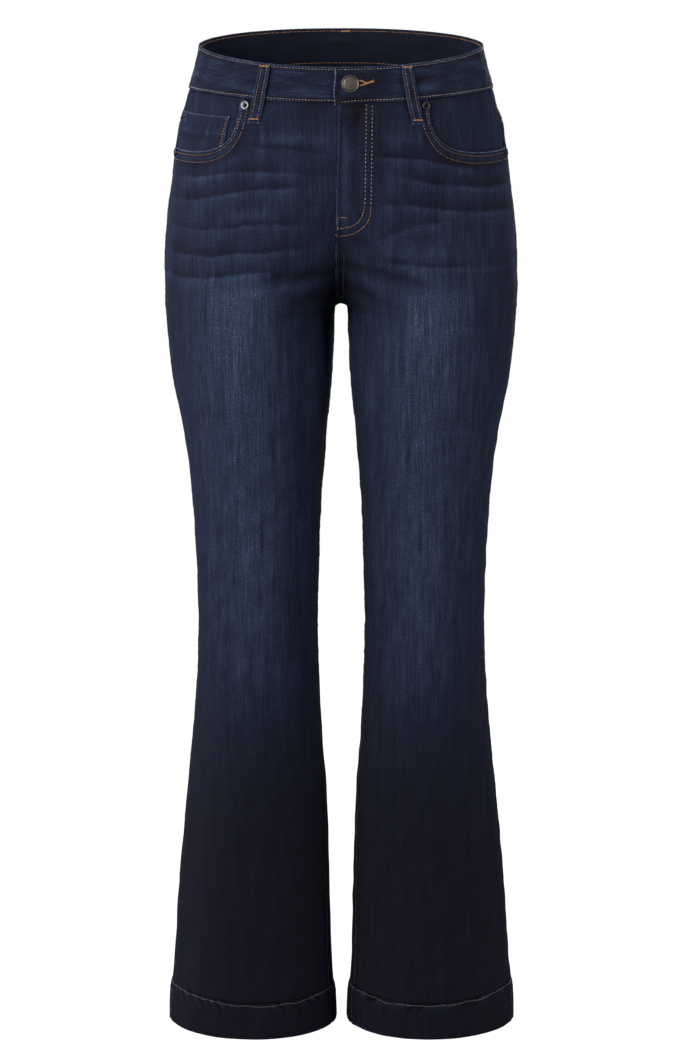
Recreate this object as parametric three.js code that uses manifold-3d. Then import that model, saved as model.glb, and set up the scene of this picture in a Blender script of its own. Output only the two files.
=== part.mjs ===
// Bootcut jeans, hollow and filled out as worn, with no wearer.
// Millimetres, +Z up. The front faces -Y and the wearer's left is +X.
// The origin is the middle of the waist opening, level with its sides.

import * as THREE from 'three';
import Module from 'manifold-3d';

const wasm = await Module();
wasm.setup();

// ---- driving dimensions -------------------------------------------------

const SEAM_GAP = 0.3;          // between pieces that are sewn to each other
const LAYER_GAP = 0.6;         // between pieces that lie on each other
const BAND_GAP = 0.5;          // between the waistband and the pieces under it
const DENIM = 1.2;             // wall of a single panel
const BAND_OUT = 1.2;          // waistband's outer face, proud of the panels
const BAND_IN = -1.4;          // and its inner face
const CENTRE_ROUND = 10;       // radius of the soft hollow between the legs

const WAIST_DIP = 17;          // top edge at centre front, below the sides
const WAIST_RISE = 11;         // top edge at centre back, above the sides
const BAND_SIDE = -46;         // waistband's lower edge at the sides
const BAND_FRONT_DROP = 7;     // how much lower it runs at centre front
const BAND_BACK_RISE = 16.5;     // and how much higher at centre back

const CROTCH = -282;
const HEM_TOP = -1068;
const HEM_BOTTOM = -1111;
const HEM_TILT = 2;            // the outer side of each hem is a little higher

const FLY_EDGE = 5.5;          // fly fold, to the wearer's right of the middle
const FLY_TAPER = 22;          // height over which it runs back to the middle
const TAB_EDGE = 7;            // end of the waistband's upper lap
const UNDERLAP = 38;           // reach of its lower lap past the middle

const YOKE_SIDE = -80;
const YOKE_CENTRE = -97;

const POCKET_DEPTH = 58;       // front pocket opening, below the waistband
const POCKET_POWER = 3.5;      // squareness of its curve
const POCKET_REACH = { right: 0.525, left: 0.6 };   // share of the front panel
const POCKET_FLAT = -126;      // below this height the front is whole

// The body's outline at each height. "outer" and "inner" are how far each
// leg's oval reaches from the middle; where inner is below CENTRE_ROUND the
// two ovals run into one another and make the hips. "front" and "back" are
// the depths of the oval.
const SECTIONS = [
  { z: 30, outer: 151, inner: -151, front: -101, back: 103 },
  { z: 0, outer: 152, inner: -152, front: -102, back: 104 },
  { z: -24, outer: 156, inner: -156, front: -104, back: 107 },
  { z: -44, outer: 163, inner: -161, front: -106, back: 111 },
  { z: -88, outer: 174, inner: -147, front: -110.5, back: 121 },
  { z: -114, outer: 180.5, inner: -128, front: -112.5, back: 126.5 },
  { z: -146, outer: 184.5, inner: -100, front: -114, back: 131 },
  { z: -180, outer: 189, inner: -69, front: -115, back: 133 },
  { z: -212, outer: 192, inner: -39, front: -115, back: 131 },
  { z: -245, outer: 193, inner: -12, front: -114, back: 126 },
  { z: -282, outer: 193, inner: 10, front: -111.3, back: 117.6 },
  { z: -284.5, outer: 192.6, inner: 11.9, front: -111, back: 117 },
  { z: -322, outer: 189.5, inner: 13, front: -107, back: 108 },
  { z: -367, outer: 184, inner: 14.6, front: -101, back: 98 },
  { z: -411, outer: 175.5, inner: 18.2, front: -94, back: 91 },
  { z: -457, outer: 169, inner: 21.5, front: -87, back: 85 },
  { z: -502, outer: 165, inner: 24.6, front: -81, back: 80 },
  { z: -593, outer: 161, inner: 27.3, front: -72, back: 75 },
  { z: -639, outer: 160.5, inner: 28.4, front: -69, back: 74 },
  { z: -686, outer: 162, inner: 27.4, front: -67, back: 74 },
  { z: -779, outer: 169.5, inner: 23.4, front: -66, back: 76 },
  { z: -826, outer: 174.5, inner: 20, front: -66, back: 76 },
  { z: -946, outer: 186, inner: 16.7, front: -68, back: 76 },
  { z: -1042, outer: 193, inner: 15, front: -71, back: 76 },
  { z: -1091, outer: 198, inner: 12.3, front: -72.5, back: 76 },
  { z: -1125, outer: 198.5, inner: 11.8, front: -73, back: 76 },
].reverse();

// Where the seams run, as angles round each leg: 0 is the outer side, 90 the
// front, 180 the inner side and -90 the back.
const SEAMS = [
  { z: 30, side: 9, inside: 180 },
  { z: -110, side: 8, inside: 180 },
  { z: -282, side: 3, inside: 180 },
  { z: -450, side: 2, inside: 177 },
  { z: -650, side: 6, inside: 174 },
  { z: -850, side: 11, inside: 169 },
  { z: -1068, side: 13, inside: 165 },
  { z: -1125, side: 13, inside: 165 },
].reverse();

const COLOURS = {
  denim: 0x2b3450,
  button: 0x5c5548,
  rivet: 0xb9bcc0,
};

// ---- the surface that every piece lies on ---------------------------------

const DEGREE = Math.PI / 180;
const RIGHT = -1;
const LEFT = 1;

// A smooth curve through one column of a table, without overshoot.
function column(rows, key) {
  const steps = rows.slice(1).map((row, i) => row.z - rows[i].z);
  const rises = rows.slice(1).map((row, i) => (row[key] - rows[i][key]) / steps[i]);
  const slopes = rows.map((row, i) => {
    if (i === 0 || i === rows.length - 1) return rises[Math.max(0, i - 1)];
    if (rises[i - 1] * rises[i] <= 0) return 0;
    const before = 2 * steps[i] + steps[i - 1];
    const after = steps[i] + 2 * steps[i - 1];
    return (before + after) / (before / rises[i - 1] + after / rises[i]);
  });
  return (z) => {
    let i = 0;
    while (i < steps.length - 1 && z > rows[i + 1].z) i += 1;
    const t = (z - rows[i].z) / steps[i];
    const near = (2 * t - 3) * t * t + 1;
    return near * rows[i][key] + (1 - near) * rows[i + 1][key]
      + steps[i] * t * (1 - t) * ((1 - t) * slopes[i] - t * slopes[i + 1]);
  };
}

const outerAt = column(SECTIONS, 'outer');
const innerAt = column(SECTIONS, 'inner');
const frontAt = column(SECTIONS, 'front');
const backAt = column(SECTIONS, 'back');
const sideSeamAt = column(SEAMS, 'side');
const inseamAt = column(SEAMS, 'inside');

function oval(z) {
  const outer = outerAt(z);
  const inner = innerAt(z);
  const front = frontAt(z);
  const back = backAt(z);
  return {
    middle: (outer + inner) / 2,
    halfWidth: (outer - inner) / 2,
    depthMiddle: (front + back) / 2,
    halfDepth: (back - front) / 2,
  };
}

// The two ovals are rounded into each other near the middle of the body.
const ROUND_SQUARED = CENTRE_ROUND ** 2 - (SEAM_GAP / 2) ** 2;
const widen = (x) => Math.sqrt(x * x + ROUND_SQUARED);
const narrow = (reach) => Math.sqrt(Math.max(reach * reach - ROUND_SQUARED, 0));

// The angle at which the surface is x from the middle of the body.
function angleAt(x, z) {
  const { middle, halfWidth } = oval(z);
  const cosine = (widen(x) - middle) / halfWidth;
  return Math.acos(THREE.MathUtils.clamp(cosine, -1, 1)) / DEGREE;
}

function surfacePoint(side, angle, z) {
  const { middle, halfWidth, depthMiddle, halfDepth } = oval(z);
  const centre = z > CROTCH ? angleAt(SEAM_GAP / 2, z) : Infinity;
  const past = Math.abs(angle) > centre;
  const turned = past ? Math.sign(angle) * (2 * centre - Math.abs(angle)) : angle;
  const reach = middle + halfWidth * Math.cos(turned * DEGREE);
  const y = depthMiddle - halfDepth * Math.sin(turned * DEGREE);
  return new THREE.Vector3((past ? -side : side) * narrow(reach), y, z);
}

// How far a point lies outside (+) or inside (-) the body, as a level.
function level(point, z) {
  const { middle, halfWidth, depthMiddle, halfDepth } = oval(z);
  const across = (widen(point.x) - middle) / halfWidth;
  const through = (point.y - depthMiddle) / halfDepth;
  return across * across + through * through;
}

function surfaceNormal(point) {
  const { middle, halfWidth, depthMiddle, halfDepth } = oval(point.z);
  const wide = widen(point.x);
  const step = 0.5;
  return new THREE.Vector3(
    2 * (wide - middle) / halfWidth ** 2 * (point.x / wide),
    2 * (point.y - depthMiddle) / halfDepth ** 2,
    (level(point, point.z + step) - level(point, point.z - step)) / (2 * step),
  ).normalize();
}

// A point of the body's surface, moved out from it by lift.
function skin({ side, angle, z }, lift) {
  const point = surfacePoint(side, angle, z);
  return point.addScaledVector(surfaceNormal(point), lift);
}

// ---- seams ----------------------------------------------------------------

const frontness = (angle) => Math.max(0, Math.sin(angle * DEGREE));
const backness = (angle) => Math.max(0, -Math.sin(angle * DEGREE));

const waistTop = (angle) => WAIST_RISE * backness(angle) - WAIST_DIP * frontness(angle) ** 1.5;

const bandBottom = (angle) => BAND_SIDE
  + BAND_BACK_RISE * backness(angle) ** 1.5
  - BAND_FRONT_DROP * frontness(angle) ** 1.5;

// The fly fold's distance from the middle: it runs back to it at the crotch.
const flyAt = (z) => FLY_EDGE * THREE.MathUtils.smoothstep(z, CROTCH, CROTCH + FLY_TAPER);

function frontEnd(side, z) {
  if (z < CROTCH) return inseamAt(z) - 0.15;
  if (side === RIGHT) return angleAt(flyAt(z) + SEAM_GAP, z) - 0.1;
  return 2 * angleAt(0, z) - angleAt(flyAt(z), z) - 0.15;
}

function backEnd(z) {
  if (z < CROTCH) return 360 - inseamAt(z) - 0.15;
  return angleAt(SEAM_GAP / 2, z) - 0.1;
}

// ---- cloth walls ------------------------------------------------------------

// A closed mesh of two grids of points, joined round their edges.
function closedGrid(columns, rows, outside, inside, ring) {
  const wide = ring ? columns : columns + 1;
  const layer = wide * (rows + 1);
  const positions = [];
  for (const grid of [outside, inside]) {
    for (let row = 0; row <= rows; row += 1) {
      for (let col = 0; col < wide; col += 1) positions.push(...grid(col, row).toArray());
    }
  }
  const at = (col, row, depth) => depth * layer + row * wide + (col % wide);
  const faces = [];
  const quad = (a, b, c, d) => faces.push(a, b, c, a, c, d);
  for (let row = 0; row < rows; row += 1) {
    for (let col = 0; col < columns; col += 1) {
      quad(at(col, row, 0), at(col + 1, row, 0), at(col + 1, row + 1, 0), at(col, row + 1, 0));
      quad(at(col, row, 1), at(col, row + 1, 1), at(col + 1, row + 1, 1), at(col + 1, row, 1));
    }
  }
  for (let col = 0; col < columns; col += 1) {
    quad(at(col, 0, 0), at(col, 0, 1), at(col + 1, 0, 1), at(col + 1, 0, 0));
    quad(at(col, rows, 0), at(col + 1, rows, 0), at(col + 1, rows, 1), at(col, rows, 1));
  }
  if (!ring) {
    for (let row = 0; row < rows; row += 1) {
      quad(at(0, row, 0), at(0, row + 1, 0), at(0, row + 1, 1), at(0, row, 1));
      quad(at(columns, row, 0), at(columns, row, 1),
        at(columns, row + 1, 1), at(columns, row + 1, 0));
    }
  }
  return outwardFacing(positions, faces);
}

// Turns the triangles over where they would enclose a negative volume.
function outwardFacing(positions, faces) {
  const corner = (i) => new THREE.Vector3().fromArray(positions, faces[i] * 3);
  let volume = 0;
  for (let i = 0; i < faces.length; i += 3) {
    volume += corner(i).dot(corner(i + 1).cross(corner(i + 2)));
  }
  const geometry = new THREE.BufferGeometry();
  geometry.setAttribute('position', new THREE.Float32BufferAttribute(positions, 3));
  geometry.setIndex(volume < 0 ? [...faces].reverse() : faces);
  return geometry;
}

// A wall whose points are worked out by place(across, down), both 0 to 1, and
// whose faces lie at the two lifts from the body's surface.
function cloth(columns, rows, place, liftOut, liftIn, ring = false) {
  const lifted = (lift) => (col, row) => {
    const across = col / columns;
    const down = row / rows;
    return skin(place(across, down), typeof lift === 'function' ? lift(across, down) : lift);
  };
  return closedGrid(columns, rows, lifted(liftOut), lifted(liftIn), ring);
}

const { lerp } = THREE.MathUtils;
const jeans = new THREE.Group();

function add(name, geometry, colour = COLOURS.denim, roughness = 0.9, metalness = 0) {
  const material = new THREE.MeshStandardMaterial({ color: colour, roughness, metalness });
  const mesh = new THREE.Mesh(geometry, material);
  mesh.name = name;
  jeans.add(mesh);
}

// Heights of the panels' rows, closest together round the crotch.
const LEG_ROWS = [
  POCKET_FLAT, -150, -180, -205, -228, -246, -260, -271, CROTCH, -284, -288, -300, -330, -380,
  -440, -502, -593, -686, -779, -870, -960, HEM_TOP + SEAM_GAP,
];
const TOP_ROWS = 4;

// Rows run from the top edge to the first whole row, then down the leg.
function rowHeight(row, top) {
  if (row < TOP_ROWS) return lerp(top, LEG_ROWS[0], row / TOP_ROWS);
  return LEG_ROWS[row - TOP_ROWS];
}

function legPanel(shares, spanAt, topAt, side) {
  const rows = TOP_ROWS + LEG_ROWS.length - 1;
  const place = (col, row) => {
    const share = shares[col];
    const z = rowHeight(row, topAt(share));
    const [start, end] = spanAt(z);
    return { side, angle: lerp(start, end, share), z };
  };
  return closedGrid(shares.length - 1, rows,
    (col, row) => skin(place(col, row), 0),
    (col, row) => skin(place(col, row), -DENIM), false);
}

// ---- fronts -------------------------------------------------------------------

const frontSpan = (side) => (z) => [sideSeamAt(z) + 0.12, frontEnd(side, z)];

// The angle of a share of the front panel, close under the waistband.
const frontAngle = (side, share) => lerp(...frontSpan(side)(BAND_SIDE), share);

// The front pocket's edge is a quarter of a squared-off oval.
const pocketDrop = (part) => POCKET_DEPTH * (1 - part ** POCKET_POWER) ** (1 / POCKET_POWER);

const POCKET_STEPS = 8;
const FRONT_STEPS = 5;

function frontPanel(side, reach) {
  const shares = [];
  const tops = [];
  for (let i = 0; i <= POCKET_STEPS; i += 1) {
    const part = Math.sin(i / POCKET_STEPS * Math.PI / 2);
    const share = reach * part;
    shares.push(share);
    tops.push(bandBottom(frontAngle(side, share)) - BAND_GAP - pocketDrop(part));
  }
  for (let i = 1; i <= FRONT_STEPS; i += 1) {
    const share = lerp(reach, 1, i / FRONT_STEPS);
    shares.push(share);
    tops.push(bandBottom(frontAngle(side, share)) - BAND_GAP);
  }
  return legPanel(shares, frontSpan(side), (share) => tops[shares.indexOf(share)], side);
}

add('front_right', frontPanel(RIGHT, POCKET_REACH.right));
add('front_left', frontPanel(LEFT, POCKET_REACH.left));

// ---- backs and yokes --------------------------------------------------------------

const BACK_STEPS = 11;
const backSpan = (z) => [sideSeamAt(z) - 0.12, -backEnd(z)];
const yokeSeam = (share) => lerp(YOKE_SIDE, YOKE_CENTRE, share);

function backPanel(side) {
  const shares = Array.from({ length: BACK_STEPS + 1 }, (_, i) => i / BACK_STEPS);
  return legPanel(shares, backSpan, (share) => yokeSeam(share) - SEAM_GAP, side);
}

function yoke(side) {
  return cloth(11, 2, (across, down) => {
    const top = bandBottom(lerp(...backSpan(BAND_SIDE), across)) - BAND_GAP;
    const z = lerp(top, yokeSeam(across), down);
    return { side, angle: lerp(...backSpan(z), across), z };
  }, 0, -DENIM);
}

add('back_right', backPanel(RIGHT));
add('back_left', backPanel(LEFT));
add('yoke_right', yoke(RIGHT));
add('yoke_left', yoke(LEFT));

// ---- hems: the ends of the leg panels, turned up twice -------------------------------

const HEM_OUT = 1;
const HEM_IN = -1.8;

function hem(side) {
  return cloth(26, 2, (across, down) => {
    const angle = across * 360;
    const bottom = HEM_BOTTOM + HEM_TILT * Math.cos(angle * DEGREE);
    return { side, angle, z: lerp(HEM_TOP, bottom, down) };
  }, HEM_OUT, HEM_IN, true);
}

add('hem_right', hem(RIGHT));
add('hem_left', hem(LEFT));

// ---- waistband ---------------------------------------------------------------------
// One strip, from the edge of the buttoned lap round the left side, the back
// and the right side, to the lower lap behind it.

const BAND_STEPS = 48;
const LAP_SHIFT = BAND_OUT - BAND_IN + SEAM_GAP;   // the lower lap is this much further in

// Turns round the waist, in degrees, are counted from centre front by the
// wearer's left side, and centre front is where the surface is nearest x = 0.
const frontTurn = (x) => 90 - angleAt(x, BAND_SIDE) * 90 / angleAt(0, BAND_SIDE);
const BAND_START = -frontTurn(TAB_EDGE);
const BAND_END = 360 + frontTurn(UNDERLAP);
const LAP_START = 360 - frontTurn(UNDERLAP + 12);

function bandPlace(across, down) {
  const turn = THREE.MathUtils.euclideanModulo(lerp(BAND_START, BAND_END, across), 360);
  const side = turn < 180 ? LEFT : RIGHT;
  const angle = turn < 180 ? 90 - turn : turn - 270;
  const z = lerp(waistTop(angle), bandBottom(angle), down);
  return { side, angle: angle * angleAt(0, z) / 90, z };
}

function lapShift(across) {
  const turn = lerp(BAND_START, BAND_END, across);
  return -LAP_SHIFT * THREE.MathUtils.smoothstep(turn, LAP_START, 360 - frontTurn(TAB_EDGE + 2));
}

const band = cloth(BAND_STEPS, 2, bandPlace,
  (across) => BAND_OUT + lapShift(across),
  (across) => BAND_IN + lapShift(across));

// ---- button ------------------------------------------------------------------------

const BUTTON = { x: 9.7, z: -33.5, radius: 9.3, rim: 1.1, height: 3 };
const SHANK_RADIUS = 3.2;
const BUTTONHOLE_RADIUS = 4;

// A turned piece whose axis leaves the body's surface at the given place.
function turned(profile, place, lift, segments) {
  const points = profile.map(([radius, height]) => new THREE.Vector2(radius, height));
  const geometry = new THREE.LatheGeometry(points, segments);
  const base = surfacePoint(place.side, place.angle, place.z);
  const out = surfaceNormal(base);
  const turn = new THREE.Quaternion().setFromUnitVectors(new THREE.Vector3(0, 1, 0), out);
  geometry.applyQuaternion(turn);
  base.addScaledVector(out, lift);
  return geometry.translate(base.x, base.y, base.z);
}

const buttonPlace = { side: LEFT, angle: angleAt(BUTTON.x, BUTTON.z), z: BUTTON.z };
const shankFoot = BAND_OUT - LAP_SHIFT + SEAM_GAP;
const capUnder = BAND_OUT + SEAM_GAP - shankFoot;

add('button', turned([
  [0, 0],
  [SHANK_RADIUS, 0],
  [SHANK_RADIUS, capUnder],
  [BUTTON.radius - BUTTON.rim, capUnder],
  [BUTTON.radius, capUnder + BUTTON.rim],
  [BUTTON.radius, capUnder + BUTTON.height - BUTTON.rim],
  [BUTTON.radius - BUTTON.rim, capUnder + BUTTON.height],
  [0, capUnder + BUTTON.height],
], buttonPlace, shankFoot, 24), COLOURS.button, 0.45, 1);

// The shank passes through a hole in the upper lap.
function toManifold(geometry) {
  const source = geometry.getAttribute('position').array;
  const index = geometry.getIndex().array;
  const vertProperties = Float32Array.from(source);
  const mesh = new wasm.Mesh({ numProp: 3, vertProperties, triVerts: Uint32Array.from(index) });
  mesh.merge();
  return new wasm.Manifold(mesh);
}

function fromManifold(solid) {
  const mesh = solid.getMesh();
  const geometry = new THREE.BufferGeometry();
  geometry.setAttribute('position', new THREE.BufferAttribute(mesh.vertProperties, 3));
  geometry.setIndex(new THREE.BufferAttribute(mesh.triVerts, 1));
  return geometry;
}

const hole = turned([
  [0, 0],
  [BUTTONHOLE_RADIUS, 0],
  [BUTTONHOLE_RADIUS, capUnder + 1],
  [0, capUnder + 1],
], buttonPlace, shankFoot - 0.1, 12);

add('waistband', fromManifold(toManifold(band).subtract(toManifold(hole))));

// ---- front pockets ----------------------------------------------------------------------
// Under the front panel's edge lies the facing, on the right behind the coin pocket.

const COIN_OUT = -DENIM - LAYER_GAP;
const COIN_WALL = 1;
const FACING_OUT = { right: COIN_OUT - COIN_WALL - LAYER_GAP, left: -DENIM - LAYER_GAP };
const FACING_UNDER = 0.1;      // how far it reaches under the front, as a share
const FACING_BOTTOM = -134;

function facing(side, reach, lift) {
  return cloth(10, 4, (across, down) => {
    const share = across * (reach + FACING_UNDER);
    const top = bandBottom(frontAngle(side, share)) - BAND_GAP;
    const z = lerp(top, FACING_BOTTOM, down);
    return { side, angle: lerp(...frontSpan(side)(z), share), z };
  }, lift, lift - DENIM);
}

add('pocket_facing_right', facing(RIGHT, POCKET_REACH.right, FACING_OUT.right));
add('pocket_facing_left', facing(LEFT, POCKET_REACH.left, FACING_OUT.left));

const COIN = { top: -71, bottom: -124, angleTop: 46.5, angleBottom: 48 };

add('coin_pocket', cloth(6, 3, (across, down) => {
  const z = lerp(COIN.top, COIN.bottom, down);
  const inner = lerp(COIN.angleTop, COIN.angleBottom, down);
  return { side: RIGHT, angle: lerp(sideSeamAt(z) + 0.3, inner, across), z };
}, COIN_OUT, COIN_OUT - COIN_WALL));

// ---- back pockets -------------------------------------------------------------------------

const BACK_POCKET = {
  top: -118, side: -245, point: -258, outerTop: -20, innerTop: -86, outerLow: -26, innerLow: -84,
};

function backPocket(side) {
  return cloth(8, 5, (across, down) => {
    const tip = 1 - Math.abs(2 * across - 1);
    const z = lerp(BACK_POCKET.top, lerp(BACK_POCKET.side, BACK_POCKET.point, tip), down);
    const outer = lerp(BACK_POCKET.outerTop, BACK_POCKET.outerLow, down);
    const inner = lerp(BACK_POCKET.innerTop, BACK_POCKET.innerLow, down);
    return { side, angle: lerp(outer, inner, across), z };
  }, LAYER_GAP + DENIM, LAYER_GAP);
}

add('back_pocket_right', backPocket(RIGHT));
add('back_pocket_left', backPocket(LEFT));

// ---- belt loops -----------------------------------------------------------------------------
// Each stands a little off the waistband between its sewn ends.

const LOOP = { width: 11.5, wall: 1.6, drop: 63, belowTop: 1.5, bow: 2.2, foot: 9 };

// Where along its length a loop lifts off, and how far.
function loopLift(down, bandShare) {
  const foot = 1 - LOOP.foot / LOOP.drop;
  if (down >= foot) return LAYER_GAP;
  if (down > bandShare) return lerp(BAND_OUT, 0, (down - bandShare) / (foot - bandShare)) + 1.2;
  return BAND_OUT + LAYER_GAP + LOOP.bow * Math.sin(Math.PI * down / bandShare) ** 0.7;
}

function beltLoop(side, angle) {
  const top = waistTop(angle) - LOOP.belowTop;
  const bandShare = (top - bandBottom(angle) + 3) / LOOP.drop;
  const point = surfacePoint(side, angle, top);
  const perDegree = point.distanceTo(surfacePoint(side, angle + 1, top));
  const half = LOOP.width / 2 / perDegree;
  const place = (across, down) => ({
    side, angle: angle + half * (2 * across - 1), z: top - LOOP.drop * down,
  });
  return cloth(1, 10, place,
    (across, down) => loopLift(down, bandShare) + LOOP.wall,
    (across, down) => loopLift(down, bandShare));
}

const LOOPS = [
  { name: 'front_right', side: RIGHT, angle: 59.2 },
  { name: 'front_left', side: LEFT, angle: 63.4 },
  { name: 'side_right', side: RIGHT, angle: -14 },
  { name: 'side_left', side: LEFT, angle: -14 },
  { name: 'centre_back', side: LEFT, angle: -angleAt(0, BAND_SIDE) },
];

for (const { name, side, angle } of LOOPS) add(`belt_loop_${name}`, beltLoop(side, angle));

// ---- rivets -------------------------------------------------------------------------------------

const RIVET = { radius: 4.6, edge: 0.7, height: 1.5, nubRadius: 1.6, nub: 0.9 };
const RIVET_PROFILE = [
  [0, 0],
  [RIVET.radius, 0],
  [RIVET.radius, RIVET.edge],
  [RIVET.radius - RIVET.edge, RIVET.height],
  [RIVET.nubRadius, RIVET.height],
  [RIVET.nubRadius * 0.7, RIVET.height + RIVET.nub],
  [0, RIVET.height + RIVET.nub],
];

const RIVETS = [
  { name: 'inner_right', side: RIGHT, angle: 53.6, z: -58.5, lift: SEAM_GAP },
  { name: 'inner_left', side: LEFT, angle: 58.8, z: -58.5, lift: SEAM_GAP },
  { name: 'outer_right', side: RIGHT, angle: 11.2, z: -116, lift: SEAM_GAP },
  { name: 'outer_left', side: LEFT, angle: 11.2, z: -116, lift: SEAM_GAP },
  { name: 'coin', side: RIGHT, angle: 12.2, z: -78, lift: COIN_OUT + SEAM_GAP },
];

for (const { name, side, angle, z, lift } of RIVETS) {
  const geometry = turned(RIVET_PROFILE, { side, angle, z }, lift, 10);
  add(`rivet_${name}`, geometry, COLOURS.rivet, 0.4, 1);
}

// ---- zip, closed behind the fly ---------------------------------------------------------------------

const ZIP = { top: -60, bottom: -188, centre: 2, halfWidth: 13, wall: 1, gap: 1.2 };

add('zip', cloth(4, 6, (across, down) => {
  const z = lerp(ZIP.top, ZIP.bottom, down);
  const x = ZIP.centre + ZIP.halfWidth * (1 - 2 * across);
  const centre = angleAt(0, z);
  const angle = x > 0 ? angleAt(x, z) : 2 * centre - angleAt(-x, z);
  return { side: LEFT, angle, z };
}, -DENIM - ZIP.gap, -DENIM - ZIP.gap - ZIP.wall));

export default jeans;
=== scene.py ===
import math

import bpy
import numpy as np
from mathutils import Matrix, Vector


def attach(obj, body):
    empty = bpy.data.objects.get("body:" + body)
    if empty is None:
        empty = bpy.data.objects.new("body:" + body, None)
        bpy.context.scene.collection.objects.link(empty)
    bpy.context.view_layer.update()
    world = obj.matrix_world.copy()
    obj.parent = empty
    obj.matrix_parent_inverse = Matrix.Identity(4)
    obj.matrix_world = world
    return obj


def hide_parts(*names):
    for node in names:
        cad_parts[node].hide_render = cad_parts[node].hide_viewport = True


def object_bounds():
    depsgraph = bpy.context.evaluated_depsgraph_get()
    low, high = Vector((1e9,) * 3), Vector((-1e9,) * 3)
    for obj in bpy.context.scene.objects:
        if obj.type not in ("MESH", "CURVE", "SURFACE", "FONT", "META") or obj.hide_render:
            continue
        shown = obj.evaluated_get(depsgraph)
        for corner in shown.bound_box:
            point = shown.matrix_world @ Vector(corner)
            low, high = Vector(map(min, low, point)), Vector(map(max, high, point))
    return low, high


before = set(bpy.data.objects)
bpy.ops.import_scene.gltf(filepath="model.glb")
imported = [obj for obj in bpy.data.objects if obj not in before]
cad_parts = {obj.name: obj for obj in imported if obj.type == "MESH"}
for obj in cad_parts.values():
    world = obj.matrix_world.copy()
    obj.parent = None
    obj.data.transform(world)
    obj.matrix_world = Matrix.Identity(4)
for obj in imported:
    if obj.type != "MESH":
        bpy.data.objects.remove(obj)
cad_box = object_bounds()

# ---- camera ------------------------------------------------------------------
# A long lens in front of the jeans, a little above the waist and tilted
# down, so that the inside of the back waistband shows over the front edge.

CAMERA_PLACE = (0.0097, -3.3, 0.22)
CAMERA_TILT = 12.8             # degrees below level
CAMERA_LENS = 69.46
CAMERA_SENSOR = 24.0

camera_data = bpy.data.cameras.new("camera")
camera_data.sensor_fit = 'VERTICAL'
camera_data.sensor_height = CAMERA_SENSOR
camera_data.lens = CAMERA_LENS
camera = bpy.data.objects.new("camera", camera_data)
bpy.context.collection.objects.link(camera)
camera.location = CAMERA_PLACE
camera.rotation_euler = (math.radians(90 - CAMERA_TILT), 0, 0)
bpy.context.scene.camera = camera

# ---- studio ------------------------------------------------------------------
# A white room with a pale floor well below the hems. Two lights stand at the
# front left and one at the right. One behind each side draws out the edges,
# and two light the back.

FLOOR_BELOW = 0.35             # metres under the hems
FLOOR_REACH = 30.0             # metres each way
WHITE = (1.0, 1.0, 1.0, 1.0)
ROOM_GLOW = 0.11               # light from all round
LIGHT_AWAY = 3.0               # metres
LIGHTS = [
    # name, degrees round from the front, degrees up, size, watts
    ("key", -38, 24, (1.1, 1.6), 72),
    ("side", -63, 8, (1.0, 1.6), 42),
    ("fill", 61, 14, (1.0, 1.6), 50),
    ("edge left", -107, 8, (0.9, 1.6), 62),
    ("edge right", 100, 8, (0.9, 1.6), 38),
    ("back left", -158, 20, (1.0, 1.4), 50),
    ("back right", 158, 20, (1.0, 1.4), 60),
]
LIGHT_AIM = Vector((0, 0, -0.5))

world = bpy.data.worlds.new("room")
bpy.context.scene.world = world
world.use_nodes = True
room = world.node_tree
room.nodes["Background"].inputs["Strength"].default_value = ROOM_GLOW
room_seen = room.nodes.new("ShaderNodeBackground")
room_seen.inputs["Color"].default_value = WHITE
room_mix = room.nodes.new("ShaderNodeMixShader")
ray = room.nodes.new("ShaderNodeLightPath")
room.nodes["Background"].inputs["Color"].default_value = WHITE
room.links.new(ray.outputs["Is Camera Ray"], room_mix.inputs["Fac"])
room.links.new(room.nodes["Background"].outputs[0], room_mix.inputs[1])
room.links.new(room_seen.outputs[0], room_mix.inputs[2])
room.links.new(room_mix.outputs[0], room.nodes["World Output"].inputs["Surface"])

for light_name, round_by, up_by, (wide, tall), watts in LIGHTS:
    light = bpy.data.lights.new(light_name, 'AREA')
    light.shape = 'RECTANGLE'
    light.size = wide
    light.size_y = tall
    light.energy = watts
    lamp = bpy.data.objects.new(light_name, light)
    turn = math.radians(round_by)
    rise = math.radians(up_by)
    away = Vector((math.sin(turn) * math.cos(rise), -math.cos(turn) * math.cos(rise), math.sin(rise)))
    lamp.location = LIGHT_AIM + away * LIGHT_AWAY
    lamp.rotation_euler = (-away).to_track_quat('-Z', 'Y').to_euler()
    bpy.context.collection.objects.link(lamp)


def new_material(name, sockets):
    """A material whose shader has the given sockets set, with ways to add and link nodes."""
    material = bpy.data.materials.new(name)
    material.use_nodes = True
    tree = material.node_tree
    shader = tree.nodes["Principled BSDF"]
    for key, value in sockets.items():
        shader.inputs[key].default_value = value

    def node(kind, **settings):
        made = tree.nodes.new(kind)
        for key, value in settings.items():
            if key in made.inputs:
                made.inputs[key].default_value = value
            else:
                setattr(made, key, value)
        return made

    return material, shader, node, tree.links.new


floor_height = cad_box[0].z - FLOOR_BELOW
floor_mesh = bpy.data.meshes.new("floor")
floor_mesh.from_pydata([(x * FLOOR_REACH, y * FLOOR_REACH, floor_height)
                        for x, y in ((-1, -1), (1, -1), (1, 1), (-1, 1))], [], [(0, 1, 2, 3)])
floor = bpy.data.objects.new("floor", floor_mesh)
bpy.context.collection.objects.link(floor)
floor.visible_diffuse = False
floor.visible_glossy = False
floor_mesh.materials.append(new_material("pale floor", {
    "Base Color": (0.08, 0.08, 0.08, 1),
    "Roughness": 1.0,
    "Specular IOR Level": 0.0,
    "Emission Color": WHITE,
    "Emission Strength": 1.0,
})[0])
bpy.context.scene.view_settings.view_transform = 'Standard'

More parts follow.
